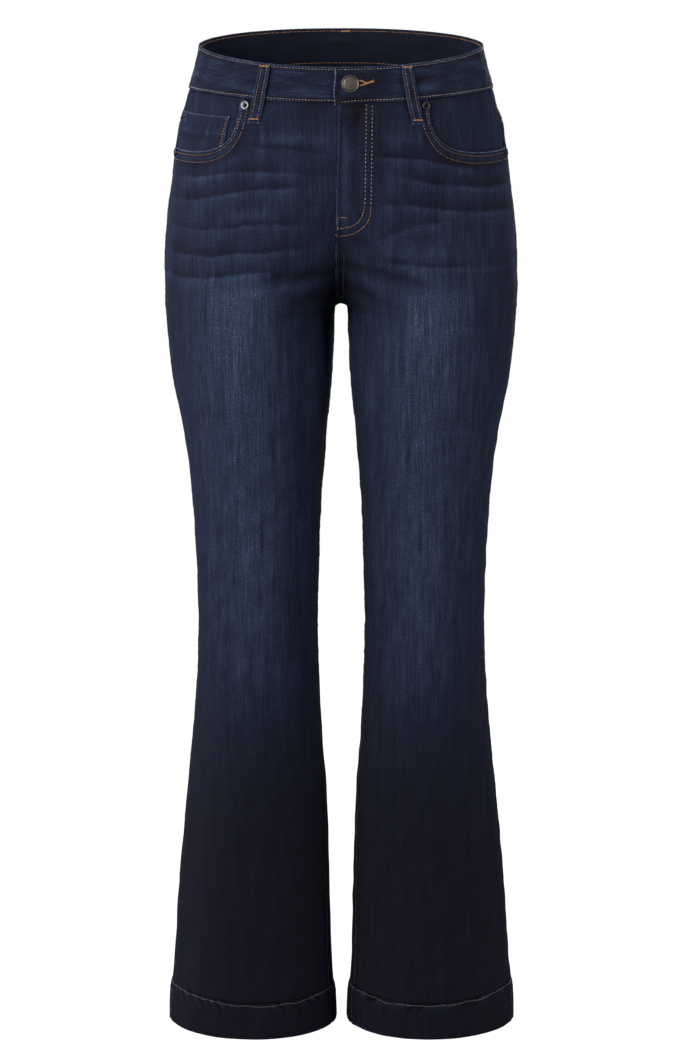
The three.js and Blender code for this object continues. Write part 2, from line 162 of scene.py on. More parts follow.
# ---- front panels ------------------------------------------------------------
# Two panels of dark indigo stretch denim, cut with a scooped pocket edge and
# sewn to the backs at the sides and insides. All the cloth below lies on the
# form that is worked out here, in millimetres, as the panels are cut to it.

SEAM_GAP = 0.3                 # between pieces that are sewn to each other
LAYER_GAP = 0.6                # between pieces that lie on each other
BAND_GAP = 0.5                 # between the waistband and the pieces under it
DENIM = 1.2                    # wall of a single panel
CENTRE_ROUND = 10              # radius of the soft hollow between the legs
CROTCH = -280.2
HEM_TOP = -1068
BAND_SIDE = -46                # waistband's lower edge at the sides
BAND_FRONT_DROP = 7            # how much lower it runs at centre front
BAND_BACK_RISE = 16.5          # and how much higher at centre back
FLY_EDGE = 4.2                 # fly fold, to the wearer's right of the middle
FLY_TAPER = 22                 # height over which it runs back to the middle
FLY_CLEAR = 0.15               # between the fold and the edge under it
SEAM_CLEAR = 0.02              # degrees between a panel's edge and its seam
POCKET_DEPTH = 62.8
POCKET_POWER = 4
POCKET_FLAT = -117             # below this height the front is whole
POCKET_ROWS = (3, 9)           # its topstitching, from the edge
DEGREE = 2.2                   # about what one degree round a leg measures
RIGHT, LEFT = -1, 1
SIDES = ((RIGHT, "right"), (LEFT, "left"))
POCKET_REACH = {RIGHT: 0.536, LEFT: 0.61}     # share of the front panel

# Each leg's oval at each height: how far it reaches from the middle, outside
# and inside, and its depths.
FORM = [
    # height, outer, inner, front, back
    (30, 151, -151, -101, 103),
    (0, 152, -152, -102, 104),
    (-24, 156, -156, -104, 107),
    (-44, 163, -161, -106, 111),
    (-88, 174, -147, -110.5, 121),
    (-114, 180.5, -128, -112.5, 126.5),
    (-146, 184.5, -100, -114, 131),
    (-180, 189, -69, -115, 133),
    (-212, 192, -39, -115, 131),
    (-245, 193, -12, -114, 126),
    (-280.2, 193, 10, -111.3, 117.6),
    (-282.6, 192.6, 11.9, -111, 117),
    (-322, 189.5, 13, -107, 108),
    (-367, 184, 14.6, -101, 98),
    (-411, 175.5, 18.2, -94, 91),
    (-457, 169, 21.5, -87, 85),
    (-502, 165, 24.6, -81, 80),
    (-593, 161, 27.3, -72, 75),
    (-639, 160.5, 28.4, -69, 74),
    (-686, 162, 27.4, -67, 74),
    (-779, 169.5, 23.4, -66, 76),
    (-826, 174.5, 20, -66, 76),
    (-946, 186, 16.7, -68, 76),
    (-1042, 193, 15, -71, 76),
    (-1091, 198, 12.3, -72.5, 76),
    (-1125, 198.5, 11.8, -73, 76),
]

# Where the seams run round each leg, in degrees: 0 is the outer side, 90 the
# front, 180 the inner side and -90 the back.
SEAMS = [
    # height, side seam, inside seam
    (30, 9, 180),
    (-110, 8, 180),
    (-280.2, 3, 180),
    (-450, 2, 177),
    (-650, 6, 174),
    (-850, 11, 169),
    (-1068, 13, 165),
    (-1125, 13, 165),
]


def through(places, values):
    """A smooth curve through the given values, without overshoot."""
    order = np.argsort(places)
    at = np.array(places, float)[order]
    value = np.array(values, float)[order]
    step = np.diff(at)
    rise = np.diff(value) / step
    slope = np.concatenate([rise[:1], (rise[:-1] + rise[1:]) / 2, rise[-1:]])
    if len(at) > 2:
        before, after = 2 * step[1:] + step[:-1], step[1:] + 2 * step[:-1]
        turns = rise[:-1] * rise[1:] <= 0
        safe = np.where(turns, 1.0, rise[:-1]), np.where(turns, 1.0, rise[1:])
        slope[1:-1] = np.where(turns, 0, (before + after) / (before / safe[0] + after / safe[1]))

    def curve(place):
        place = np.asarray(place, float)
        i = np.clip(np.searchsorted(at, place, side="left") - 1, 0, len(step) - 1)
        t = (place - at[i]) / step[i]
        near = (2 * t - 3) * t * t + 1
        return (near * value[i] + (1 - near) * value[i + 1]
                + step[i] * t * (1 - t) * ((1 - t) * slope[i] - t * slope[i + 1]))

    return curve


def curves(table):
    """For each further column of a table, its curve down the heights in the first."""
    heights, *columns = zip(*table)
    return [through(heights, column) for column in columns]


outer_at, inner_at, front_at, back_at = curves(FORM)
side_seam_at, inseam_at = curves(SEAMS)


def oval(z):
    """The middle and half the size of a leg's oval, across and front to back."""
    outer, inner, front, back = outer_at(z), inner_at(z), front_at(z), back_at(z)
    return (outer + inner) / 2, (outer - inner) / 2, (front + back) / 2, (back - front) / 2


# Both legs' ovals run together at the middle in a hollow of this radius.
ROUND = math.sqrt(CENTRE_ROUND ** 2 - (SEAM_GAP / 2) ** 2)


def angle_at(x, z):
    """The angle at which the form is x from the middle of the body."""
    middle, half_width, _, _ = oval(z)
    return np.degrees(np.arccos(np.clip((np.hypot(x, ROUND) - middle) / half_width, -1, 1)))


def form_point(side, angle, z):
    """A place on the form. Above the crotch, an angle past the middle lies on the other leg."""
    side, angle, z = np.broadcast_arrays(*(np.asarray(v, float) for v in (side, angle, z)))
    middle, half_width, depth_middle, half_depth = oval(z)
    centre = np.where(z > CROTCH, angle_at(SEAM_GAP / 2, z), np.inf)
    past = np.abs(angle) > centre
    turned = np.radians(np.where(past, np.sign(angle) * (2 * centre - np.abs(angle)), angle))
    reach = middle + half_width * np.cos(turned)
    x = np.where(past, -side, side) * np.sqrt(np.maximum(reach ** 2 - ROUND ** 2, 0))
    return np.stack([x, depth_middle - half_depth * np.sin(turned), z], axis=-1)


def form_level(x, y, z):
    """1 on the form, less inside it and more outside."""
    middle, half_width, depth_middle, half_depth = oval(z)
    across = (np.hypot(x, ROUND) - middle) / half_width
    return across ** 2 + ((y - depth_middle) / half_depth) ** 2


def form_normal(point):
    """The way straight out of the form at points on it."""
    x, y, z = np.moveaxis(point, -1, 0)
    middle, half_width, depth_middle, half_depth = oval(z)
    wide = np.hypot(x, ROUND)
    normal = np.stack([
        2 * (wide - middle) / half_width ** 2 * (x / wide),
        2 * (y - depth_middle) / half_depth ** 2,
        form_level(x, y, z + 0.5) - form_level(x, y, z - 0.5),
    ], axis=-1)
    return normal / np.linalg.norm(normal, axis=-1, keepdims=True)


def locate(point):
    """The side, angle and height of points on the form."""
    x, y, z = np.moveaxis(point, -1, 0)
    middle, half_width, depth_middle, half_depth = oval(z)
    angle = np.degrees(np.arctan2(-(y - depth_middle) / half_depth,
                                  (np.hypot(x, ROUND) - middle) / half_width))
    return np.where(x < 0, -1.0, 1.0), angle, z


def frontness(angle):
    """1 at the front, falling to 0 at the sides."""
    return np.maximum(0, np.sin(np.radians(angle)))


def backness(angle):
    return np.maximum(0, -np.sin(np.radians(angle)))


def band_bottom(angle):
    """The height of the waistband's lower edge."""
    return (BAND_SIDE + BAND_BACK_RISE * backness(angle) ** 1.5
            - BAND_FRONT_DROP * frontness(angle) ** 3)


def ease(value, start, end):
    """0 before start, 1 after end, and soft between them."""
    t = np.clip((value - start) / (end - start), 0, 1)
    return t * t * (3 - 2 * t)


def hump(distance, width):
    """1 at no distance, and dying away softly over about the width."""
    return np.exp(-(distance / width) ** 2)


def waves(seed, u, v, length_u, length_v, count=6):
    """A gentle uneven surface, about -1 to 1, with waves of about the given lengths."""
    random = np.random.default_rng(abs(seed))
    total = 0
    for _ in range(count):
        a, b = random.normal(0, 1 / length_u), random.normal(0, 1 / length_v)
        total += np.sin(2 * np.pi * (a * u + b * v + random.random()))
    return total / math.sqrt(count)


# Creases that pull round the hips and thighs. Each runs from one angle to
# another, at the given heights. The cloth above it sinks in over a distance
# and is darker, partly unfaded dye and partly painted shade, then steps out
# again sharply, and the lip below it is lighter, partly worn and partly a
# painted highlight, and dies away.
CREASES = [
    # side, path of (angle, height), depth, above, below, dark, light
    (RIGHT, [(58, -100), (70, -101), (77, -102), (84, -104), (94, -108)], 1.1, 3.5, 5, 0.09, 0.05),
    (RIGHT, [(12, -137), (40, -134), (52, -130), (60, -126), (80, -126), (94, -129)],
     1.4, 9, 6, 0.06, 0.12),
    (RIGHT, [(10, -163), (38, -158), (55, -152), (68, -145), (84, -142), (96, -144)],
     2.2, 9, 7, 0.09, 0.11),
    (RIGHT, [(12, -187), (22, -190), (48, -189), (64, -186), (78, -180), (91, -181), (106, -183)],
     1.8, 4.5, 4.5, 0.10, 0.07),
    (RIGHT, [(10, -214), (34, -217), (56, -216), (73, -212), (91, -209), (116, -205)],
     2.2, 9, 8, 0.10, 0.08),
    (RIGHT, [(8, -239), (36, -242), (60, -239), (77, -234), (106, -229)], 1.8, 8, 9, 0.08, 0.09),
    (RIGHT, [(32, -398), (43, -397), (79, -390), (112, -390)], 0.6, 5, 5, 0.03, 0.03),
    (LEFT, [(40, -125), (57, -119), (68, -112), (80, -110), (90, -108)], 1.7, 9, 7, 0.10, 0.11),
    (LEFT, [(8, -147), (40, -145), (55, -142), (68, -138), (80, -129), (87, -125)],
     2.0, 9, 7, 0.10, 0.10),
    (LEFT, [(8, -175), (38, -171), (56, -168), (70, -163), (82, -160), (98, -160)],
     2.1, 9, 7, 0.10, 0.10),
    (LEFT, [(62, -178), (80, -182), (88, -186), (96, -192), (106, -199)], 1.1, 8, 7, 0.05, 0.07),
    (LEFT, [(54, -227), (70, -226), (89, -224), (105, -221), (114, -218)], 1.3, 3.5, 5, 0.09, 0.09),
    (LEFT, [(10, -228), (40, -230), (66, -229)], 0.7, 4, 3, 0.03, 0.09),
    (LEFT, [(30, -401), (70, -407), (104, -404)], 0.4, 5, 5, 0.02, 0.02),
]

# Soft ridges and hollows: each reaches out (+) or sinks in (-) by its depth
# and spreads the same way up and down. Their tone makes the ridges lighter,
# partly worn and partly a painted highlight, and paints shade into the hollows.
SOFT_FOLDS = [
    # side, path of (angle, height), depth, spread, tone
    (RIGHT, [(54, -90), (74, -91), (96, -93)], 0.6, 6, 0.08),
    (RIGHT, [(50, -116), (66, -112), (86, -113)], 0.7, 7, 0.04),
    (RIGHT, [(58, -174), (72, -171), (86, -172)], 0.7, 6, 0.07),
    (RIGHT, [(20, -147), (34, -145), (48, -142)], 0.5, 6, 0.03),
    (RIGHT, [(88, -234), (100, -237), (124, -238), (144, -238)], -2.6, 7, -0.09),
    (RIGHT, [(78, -254), (105, -250), (123, -248), (138, -245)], 1.0, 6, 0.08),
    (RIGHT, [(112, -268), (134, -265), (158, -263)], -1.8, 6, -0.07),
    (LEFT, [(60, -90), (72, -91), (82, -92)], 0.5, 7, 0.05),
    (LEFT, [(106, -204), (118, -196), (130, -194)], -1.0, 7, -0.06),
    (LEFT, [(64, -212), (90, -211), (112, -206)], 0.8, 8, 0.07),
    (LEFT, [(84, -233), (96, -231), (110, -228)], 0.7, 5, 0.07),
    (LEFT, [(80, -248), (98, -242), (113, -236), (128, -230), (140, -226)], -2.4, 7, -0.08),
    (LEFT, [(112, -250), (122, -246), (136, -242)], 0.8, 6, 0.05),
    (LEFT, [(108, -272), (122, -268), (139, -258), (154, -254)], -2.0, 7, -0.07),
]

# Folds like these under the seat and at the back of the knees.
for back_side, sink, shift in ((RIGHT, 1.0, 0), (LEFT, 0.86, 5)):
    CREASES += [
        (back_side, [(-18, -168 - shift), (-50, -160), (-84, -172)], 1.1 * sink, 10, 8, 0.04, 0.04),
        (back_side, [(-30, -284 - shift), (-76, -291), (-124, -276)], 2.6 * sink, 9, 8, 0.08, 0.08),
        (back_side, [(-50, -318 + shift), (-96, -327), (-146, -312)], 2.0 * sink, 9, 8, 0.06, 0.06),
        (back_side, [(-26, -566 + shift), (-84, -580), (-146, -562)], 1.7 * sink, 9, 7, 0.05, 0.05),
        (back_side, [(-34, -600), (-92, -612 - shift), (-142, -596)], 1.5 * sink, 8, 7, 0.05, 0.05),
    ]
    SOFT_FOLDS += [
        (back_side, [(-12, -214), (-46, -206 - shift), (-70, -214)], 0.9 * sink, 12, 0.04),
        (back_side, [(-40, -356), (-88, -350 - shift), (-130, -344)], -1.0 * sink, 11, -0.03),
        (back_side, [(-44, -648 - shift), (-90, -655), (-128, -646)], -0.9 * sink, 10, -0.03),
    ]

# Soft folds that hang down the legs, from one height to another.
LONG_FOLDS = [
    # side, path of (height, angle), depth, spread in degrees
    (RIGHT, [(-620, 62), (-820, 70), (-1060, 66)], 1.6, 13),
    (RIGHT, [(-560, 118), (-780, 112), (-1050, 116)], -1.4, 12),
    (RIGHT, [(-760, 34), (-940, 30), (-1066, 34)], -1.2, 10),
    (RIGHT, [(-300, 142), (-430, 146), (-560, 150)], 1.0, 12),
    (LEFT, [(-600, 112), (-800, 104), (-1060, 108)], 1.6, 13),
    (LEFT, [(-640, 66), (-840, 72), (-1055, 66)], -1.3, 12),
    (LEFT, [(-730, 30), (-920, 36), (-1066, 30)], -1.1, 10),
    (LEFT, [(-300, 140), (-420, 146), (-540, 150)], 0.8, 12),
    (RIGHT, [(-660, -60), (-860, -66), (-1064, -62)], 1.8, 14),
    (RIGHT, [(-640, -122), (-860, -118), (-1060, -124)], -1.6, 13),
    (LEFT, [(-650, -116), (-850, -110), (-1062, -116)], 1.7, 14),
    (LEFT, [(-660, -58), (-880, -64), (-1060, -60)], -1.5, 13),
]


def along_path(path, angle, seed):
    """The height of a fold's line at each angle, and how strongly it shows there."""
    first, last = sorted([path[0][0], path[-1][0]])
    line = through(*zip(*path))(np.clip(angle, first, last))
    line = line + 0.6 * waves(seed, angle, 0, 17, 1)
    ends = 0.28 * (last - first)
    shown = ease(angle, first - 2, first + ends) * (1 - ease(angle, last - ends, last + 2))
    return line, shown * (0.88 + 0.2 * waves(seed + 50, angle, 0, 13, 1))


def folded(side, angle, z):
    """How far the folds hold cloth on the legs off the form, and how they change its tone."""
    angle, z = np.broadcast_arrays(angle, z)
    out = 0.3 * waves(11 + side, angle * DEGREE, z, 70, 46)
    # The layers piled up in the side seam push it out beside the pocket.
    out += 2.3 * hump(angle, 24) * hump(z + 86, 15)
    tone = np.zeros(angle.shape)
    for seed, (fold_side, path, depth, above, below, dark, light) in enumerate(CREASES):
        if fold_side == side:
            line, shown = along_path(path, angle, seed)
            off = z - line
            up = np.exp(-(np.maximum(off, 0) / above) ** 1.15)
            lip = 1 - np.exp(np.minimum(off, 0) / 1.2)
            down = np.exp(-(np.maximum(-off, 0) / below) ** 1.4)
            high = 1 / (1 + np.exp(-np.clip(off / 0.55, -30, 30)))
            out += shown * depth * np.where(off > 0, -up, -(1 - lip) + 0.4 * lip * down)
            # Painted shade above each crease's edge and a painted highlight on its lip, mixed with the
            # whiskers' fading.
            tone += shown * (-1.6 * dark * high * up + 1.3 * light * (1 - high) * down)
    for seed, (fold_side, path, depth, spread, change) in enumerate(SOFT_FOLDS):
        if fold_side == side:
            line, shown = along_path(path, angle, seed + 200)
            shape = hump(z - line, spread) * shown
            out += depth * shape
            # Lighter on the ridges, partly wear and partly painted highlight; painted shade in the
            # hollows.
            tone += 1.3 * change * shape
    for fold_side, path, depth, spread in LONG_FOLDS:
        if fold_side == side:
            last, first = path[0][0], path[-1][0]
            line = through(*zip(*path))(np.clip(z, first, last))
            ends = 0.4 * (last - first)
            shown = ease(z, first - 30, first + ends * 0.4) * (1 - ease(z, last - ends, last + 10))
            out += depth * hump(angle - line, spread) * shown
    return out, tone


# How far the dye has faded down the front and back of each leg.
FADES = [
    # height, front, its angle and spread, back, sides
    (10, 0.27, 76, 60, 0.26, 0.26),
    (-62, 0.27, 74, 50, 0.28, 0.26),
    (-124, 0.29, 72, 44, 0.34, 0.25),
    (-186, 0.31, 72, 42, 0.40, 0.24),
    (-218, 0.32, 74, 40, 0.42, 0.23),
    (-242, 0.39, 75, 36, 0.42, 0.21),
    (-262, 0.50, 77, 33, 0.42, 0.20),
    (-280, 0.51, 78, 34, 0.40, 0.20),
    (-319, 0.49, 79, 36, 0.37, 0.22),
    (-366, 0.475, 79, 38, 0.35, 0.24),
    (-412, 0.445, 80, 40, 0.32, 0.25),
    (-460, 0.435, 81, 42, 0.32, 0.25),
    (-508, 0.45, 80, 40, 0.32, 0.24),
    (-556, 0.455, 80, 40, 0.31, 0.24),
    (-604, 0.42, 80, 38, 0.30, 0.24),
    (-653, 0.385, 80, 40, 0.28, 0.22),
    (-702, 0.32, 82, 46, 0.24, 0.19),
    (-750, 0.23, 82, 50, 0.19, 0.165),
    (-798, 0.165, 82, 60, 0.15, 0.145),
    (-848, 0.125, 80, 60, 0.12, 0.12),
    (-896, 0.11, 80, 60, 0.105, 0.105),
    (-1125, 0.10, 80, 60, 0.10, 0.10),
]
FADE_SHIFT = {RIGHT: 7, LEFT: 16}    # degrees further in, on the thighs
fade_front, fade_angle, fade_spread, fade_back, fade_sides = curves(FADES)


def dye_and_painted_light(side, angle, z):
    """The cloth's tone before folds and wear: 0 is nearly black and 1 the palest. It is the dye's
    fading, with painted light on the inner thighs by the crotch.
    """
    sides = fade_sides(z)
    middle = fade_angle(z) + FADE_SHIFT[side] * ease(-z, 150, 300)
    front = (fade_front(z) - sides) * hump(angle - middle, fade_spread(z))
    back = (fade_back(z) - sides) * hump(angle + 88, 48)
    patches = 0.022 * waves(71 + side, angle * DEGREE, z, 34, 60)
    # Painted light: the inner thighs by the crotch are lightened where the legs shade each other.
    inner = 0.2 * hump(np.abs(angle) - 178, 30) * ease(-z, 255, 285) * (1 - ease(-z, 340, 440))
    return sides + front + back + inner + patches * np.clip(sides * 4, 0.3, 1)


FAR = 30.0                     # distances are only worked out up to this one


def distance_to(point, line):
    """How far each point is from a line of points, up to FAR."""
    flat = point.reshape(-1, 3)
    far = np.full(len(flat), FAR)
    near = np.all((flat > line.min(0) - FAR) & (flat < line.max(0) + FAR), axis=1)
    start, along = line[:-1], np.diff(line, axis=0)
    length = np.maximum((along ** 2).sum(1), 1e-9)
    chosen = np.nonzero(near)[0]
    for part in np.array_split(chosen, max(1, len(chosen) // 3000)):
        off = flat[part][:, None] - start
        share = np.clip((off * along).sum(2) / length, 0, 1)
        off = off - share[..., None] * along
        far[part] = np.minimum(FAR, np.sqrt((off ** 2).sum(2)).min(1))
    return far.reshape(point.shape[:-1])


def linear(colour):
    """A display colour, its channels from 0 to 255, as a linear one."""
    parts = [value / 255 for value in colour]
    return (*[v / 12.92 if v < 0.04045 else ((v + 0.055) / 1.055) ** 2.4 for v in parts], 1)


def denim_material(name, ramp, streak):
    """Twill woven from dyed warp and pale weft. The tone of each point runs
    through the ramp, with slubs down the warp and grain across it."""
    material, shader, node, link = new_material(
        name, {"Roughness": 0.9, "Specular IOR Level": 0.03})
    cloth_place = node("ShaderNodeUVMap", uv_map="UVMap").outputs["UV"]
    tone = node("ShaderNodeAttribute", attribute_name="tone").outputs["Fac"]

    def placed(**settings):
        place = node("ShaderNodeMapping", **settings)
        link(cloth_place, place.inputs["Vector"])
        return place.outputs[0]

    def grain(width, length, detail, seed):
        """Noise whose marks are about width by length, in millimetres."""
        noise = node("ShaderNodeTexNoise", noise_dimensions='2D', Scale=1.0, Detail=detail)
        link(placed(Scale=(1000 / width, 1000 / length, 1), Location=(seed * 3.7, seed * 9.1, 0)),
             noise.inputs["Vector"])
        return noise.outputs[0]

    def maths(operation, *values):
        """One step of arithmetic on numbers and other nodes' outputs."""
        step = node("ShaderNodeMath", operation=operation)
        for socket, value in zip(step.inputs, values):
            if isinstance(value, float):
                socket.default_value = value
            else:
                link(value, socket)
        return step.outputs[0]

    def sum_of(total, *terms):
        """The total and each (noise - 0.5) * weight."""
        for noise, weight in terms:
            total = maths('MULTIPLY_ADD', maths('SUBTRACT', noise, 0.5), weight, total)
        return total

    slub = grain(1.6, 50, 2, 1)
    thread = grain(0.9, 14, 1, 6)
    band = grain(7, 150, 2, 2)
    salt = grain(1.5, 1.8, 1, 3)
    weft = grain(9, 1.6, 1, 4)
    mottle = grain(13, 14, 2, 5)

    # The pale weft shows as specks, most of all along the slubs, and more
    # where the dye has faded.
    specks = maths('MULTIPLY', sum_of(0.0, (salt, 1.05)), maths('MULTIPLY_ADD', slub, 1.9, -0.05))
    marks = sum_of(0.0, (slub, 0.72), (thread, 0.36), (band, 0.5), (weft, 0.16), (mottle, 0.26))
    strength = maths('MULTIPLY_ADD', tone, 0.95 * streak, 0.03 * streak)
    level = maths('MULTIPLY_ADD', maths('ADD', marks, specks), strength, tone)
    colours = node("ShaderNodeValToRGB")
    stops = colours.color_ramp.elements
    while len(stops) < len(ramp):
        stops.new(0.5)
    for stop, (place, colour) in zip(stops, ramp):
        stop.position = place
        stop.color = linear(colour)
    link(level, colours.inputs["Fac"])
    link(colours.outputs[0], shader.inputs["Base Color"])

    # The twill's fine diagonal ribs, and the slubs, raise the surface a little.
    ribs = node("ShaderNodeTexWave", Scale=0.5, Distortion=1.4, Detail=1.0)
    link(placed(Rotation=(0, 0, math.radians(-63)), Scale=(1000 / 0.8, 1000 / 0.8, 1)),
         ribs.inputs["Vector"])
    bump = node("ShaderNodeBump", Strength=0.55, Distance=0.00035)
    link(sum_of(slub, (ribs.outputs["Fac"], 0.5), (salt, 0.9)), bump.inputs["Height"])
    link(bump.outputs[0], shader.inputs["Normal"])
    return material


INDIGO = [
    (0.00, (13, 13, 18)),
    (0.10, (22, 22, 30)),
    (0.25, (27, 31, 47)),
    (0.40, (37, 46, 65)),
    (0.50, (45, 54, 75)),
    (0.70, (66, 76, 101)),
    (1.00, (148, 155, 180)),
]
REVERSE = [
    (0.00, (16, 17, 24)),
    (0.50, (34, 38, 52)),
    (1.00, (80, 90, 110)),
]
denim = denim_material("dark indigo denim", INDIGO, 1.0)
denim_reverse = denim_material("wrong side of the denim", REVERSE, 0.8)


def mesh_piece(name, points, faces, materials, corner_uv=None, tone=None, patch=None):
    """A piece made from points in millimetres. faces is a list of arrays of point numbers."""
    mesh = bpy.data.meshes.new(name)
    mesh.from_pydata((points / 1000).tolist(), [], [f for group in faces for f in group.tolist()])
    mesh.polygons.foreach_set("use_smooth", np.ones(len(mesh.polygons), bool))
    if corner_uv is not None:
        layer = mesh.uv_layers.new(name="UVMap")
        layer.data.foreach_set("uv", (corner_uv / 1000).ravel())
    if tone is not None:
        values = mesh.attributes.new("tone", 'FLOAT', 'POINT')
        values.data.foreach_set("value", tone.astype(np.float32))
    for material in materials:
        mesh.materials.append(material)
    if patch is not None:
        mesh.polygons.foreach_set("material_index", patch)
    mesh.update()
    piece = bpy.data.objects.new(name, mesh)
    bpy.context.collection.objects.link(piece)
    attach(piece, "root")
    return piece


def facing_out(points, groups):
    """The faces of a closed mesh, all turned round if they face in."""
    inside = 0
    for group in groups:
        for k in range(1, group.shape[1] - 1):
            a, b, c = points[group[:, 0]], points[group[:, k]], points[group[:, k + 1]]
            inside += np.einsum("ij,ij->i", a, np.cross(b, c)).sum()
    return [g[:, ::-1] for g in groups] if inside < 0 else groups


def grid_faces(index):
    """The four-sided faces between neighbours on a grid of point numbers."""
    return np.stack([index[:-1, :-1], index[:-1, 1:], index[1:, 1:], index[1:, :-1]], -1)


def flat_size(base):
    """Width, length and area of the flat cloth, in metres, measured on the form before it is folded."""
    across = np.linalg.norm(np.diff(base, axis=1), axis=2)
    down = np.linalg.norm(np.diff(base, axis=0), axis=2)
    one, two = base[1:, 1:] - base[:-1, :-1], base[1:, :-1] - base[:-1, 1:]
    area = np.linalg.norm(np.cross(one, two), axis=2).sum() / 2
    wide, long = across.sum(1).max() / 1000, down.sum(0).max() / 1000
    return wide, long, min(area / 1e6, wide * long)


GRAIN_LINE = 100               # the warp runs straight down, this far from the middle


def cloth_wall(name, node, side, angle, z, out, thick, tone,
               ring=False, under=denim_reverse):
    """A closed wall of cloth on the form. Its outer face has a point for each
    place given, and its inner face half as many each way."""
    base = form_point(side, angle, z)
    normal = form_normal(base)
    out = np.broadcast_to(out, z.shape)
    tone = np.broadcast_to(tone, z.shape)
    outside = base + normal * out[..., None]
    inside = (base + normal * (out - thick)[..., None])[::2, ::2]
    rows, columns = z.shape[0] - 1, z.shape[1] - 1

    # Places are numbered on the full grids; a ring's last column is its first.
    o = np.arange(z.size).reshape(z.shape)
    i = z.size + np.arange(inside[..., 0].size).reshape(inside.shape[:2])
    weld = np.arange(o.size + i.size)
    if ring:
        weld[o[:, -1]] = o[:, 0]
        weld[i[:, -1]] = i[:, 0]

    def rim(edge_out, edge_in, flip):
        a, b, c = edge_out[:-2:2], edge_out[1:-1:2], edge_out[2::2]
        d, e = edge_in[:-1], edge_in[1:]
        tris = np.concatenate([np.stack(t, -1) for t in ((a, d, b), (b, d, e), (b, e, c))])
        return tris[:, ::-1] if flip else tris

    rims = [rim(o[0], i[0], False), rim(o[-1], i[-1], True)]
    if not ring:
        rims += [rim(o[:, 0], i[:, 0], True), rim(o[:, -1], i[:, -1], False)]
    points = np.concatenate([outside.reshape(-1, 3), inside.reshape(-1, 3)])
    groups = facing_out(points, [grid_faces(o).reshape(-1, 4),
                                 grid_faces(i).reshape(-1, 4)[:, ::-1], np.concatenate(rims)])

    # The cloth's own flat places: down by the height, and across by the girth.
    girth = np.linalg.norm(np.diff(base[..., :2], axis=1), axis=2)
    u = np.concatenate([np.zeros((rows + 1, 1)), np.cumsum(girth, axis=1)], axis=1)
    grain_line = np.abs(np.abs(base[..., 0]) - GRAIN_LINE).argmin(axis=1)
    if np.abs(np.abs(base[0, grain_line[0], 0]) - GRAIN_LINE) < 4 and not ring:
        at_line = np.arange(rows + 1), grain_line
        u = u - (u[at_line] + np.abs(base[..., 0])[at_line] - GRAIN_LINE)[:, None]
    else:
        u = u - u[:, [columns // 2]]
    flat = np.stack([u, z], -1)
    flat = np.concatenate([flat.reshape(-1, 2), flat[::2, ::2].reshape(-1, 2)])
    tones = np.concatenate([tone.ravel(), tone[::2, ::2].ravel()])
    corner_uv = np.concatenate([flat[g.ravel()] for g in groups])
    patch = np.concatenate([np.full(len(g), n, np.int32) for g, n in zip(groups, (0, 1, 0))])

    used, index = np.unique(weld, return_inverse=True)
    piece = mesh_piece(name, points[used], [index[g] for g in groups], [denim, under],
                       corner_uv, tones[used], patch)
    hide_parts(node)
    return piece


def clustered(count, ends=0.72):
    """Shares from 0 to 1, closest together at both ends."""
    t = np.linspace(0, 1, count + 1)
    return t - ends * np.sin(2 * np.pi * t) / (2 * np.pi)


def fly_at(z):
    """How far the fly's fold lies to the wearer's right of the middle."""
    return (FLY_EDGE + 1.3 * np.clip((-z - 130) / 70, -1, 1)) * ease(z, CROTCH, CROTCH + FLY_TAPER)


def front_end(side, z):
    """The angle at which a front panel ends, at the fly and then at the inside seam."""
    if side == RIGHT:
        end = angle_at(fly_at(z) + FLY_CLEAR, z)
    else:
        end = 2 * angle_at(0, z) - angle_at(fly_at(z), z)
    return np.where(z < CROTCH, inseam_at(z) - SEAM_CLEAR, end)


def front_angle(side, share, z):
    """The angle at a share of the way across a front panel, from the side seam."""
    start = side_seam_at(z) + SEAM_CLEAR
    return start + (front_end(side, z) - start) * share


INTO_BAND = 1.0                # how far the panels' upper edges run up inside the waistband


def pocket_drop(part):
    """How far the pocket edge lies below the waistband, at a share of the pocket's reach."""
    return POCKET_DEPTH * (1 - np.clip(part, 0, 1) ** POCKET_POWER) ** (1 / POCKET_POWER)


def front_top(side, share):
    """The height of a front panel's upper edge."""
    drop = pocket_drop(share / POCKET_REACH[side])
    below = np.where(drop > 0, BAND_GAP, -INTO_BAND)
    return band_bottom(front_angle(side, share, BAND_SIDE)) - below - drop


def girth_at(side, angle, z):
    """Millimetres round the form for each degree."""
    step = form_point(side, angle + 0.5, z) - form_point(side, angle - 0.5, z)
    return np.linalg.norm(step, axis=-1)


# The pocket edge, as points on the form, from the side seam up to the band.
POCKET_LINE = {}
for side, _ in SIDES:
    share = POCKET_REACH[side] * np.sin(np.linspace(0, 1, 161) * np.pi / 2)
    height = front_top(side, share)
    POCKET_LINE[side] = form_point(side, front_angle(side, share, height), height)

# The fly's two rows of topstitching run down and curve in to the fold.
FLY_ROWS = [
    # (distance from the middle, height)
    [(26.7, -54), (25.9, -134), (25.1, -159), (21.6, -173), (12.8, -182), (-4.2, -186)],
    [(33.2, -55), (32.2, -134), (31.2, -167), (26.6, -180), (12.8, -191), (-4.4, -195)],
]


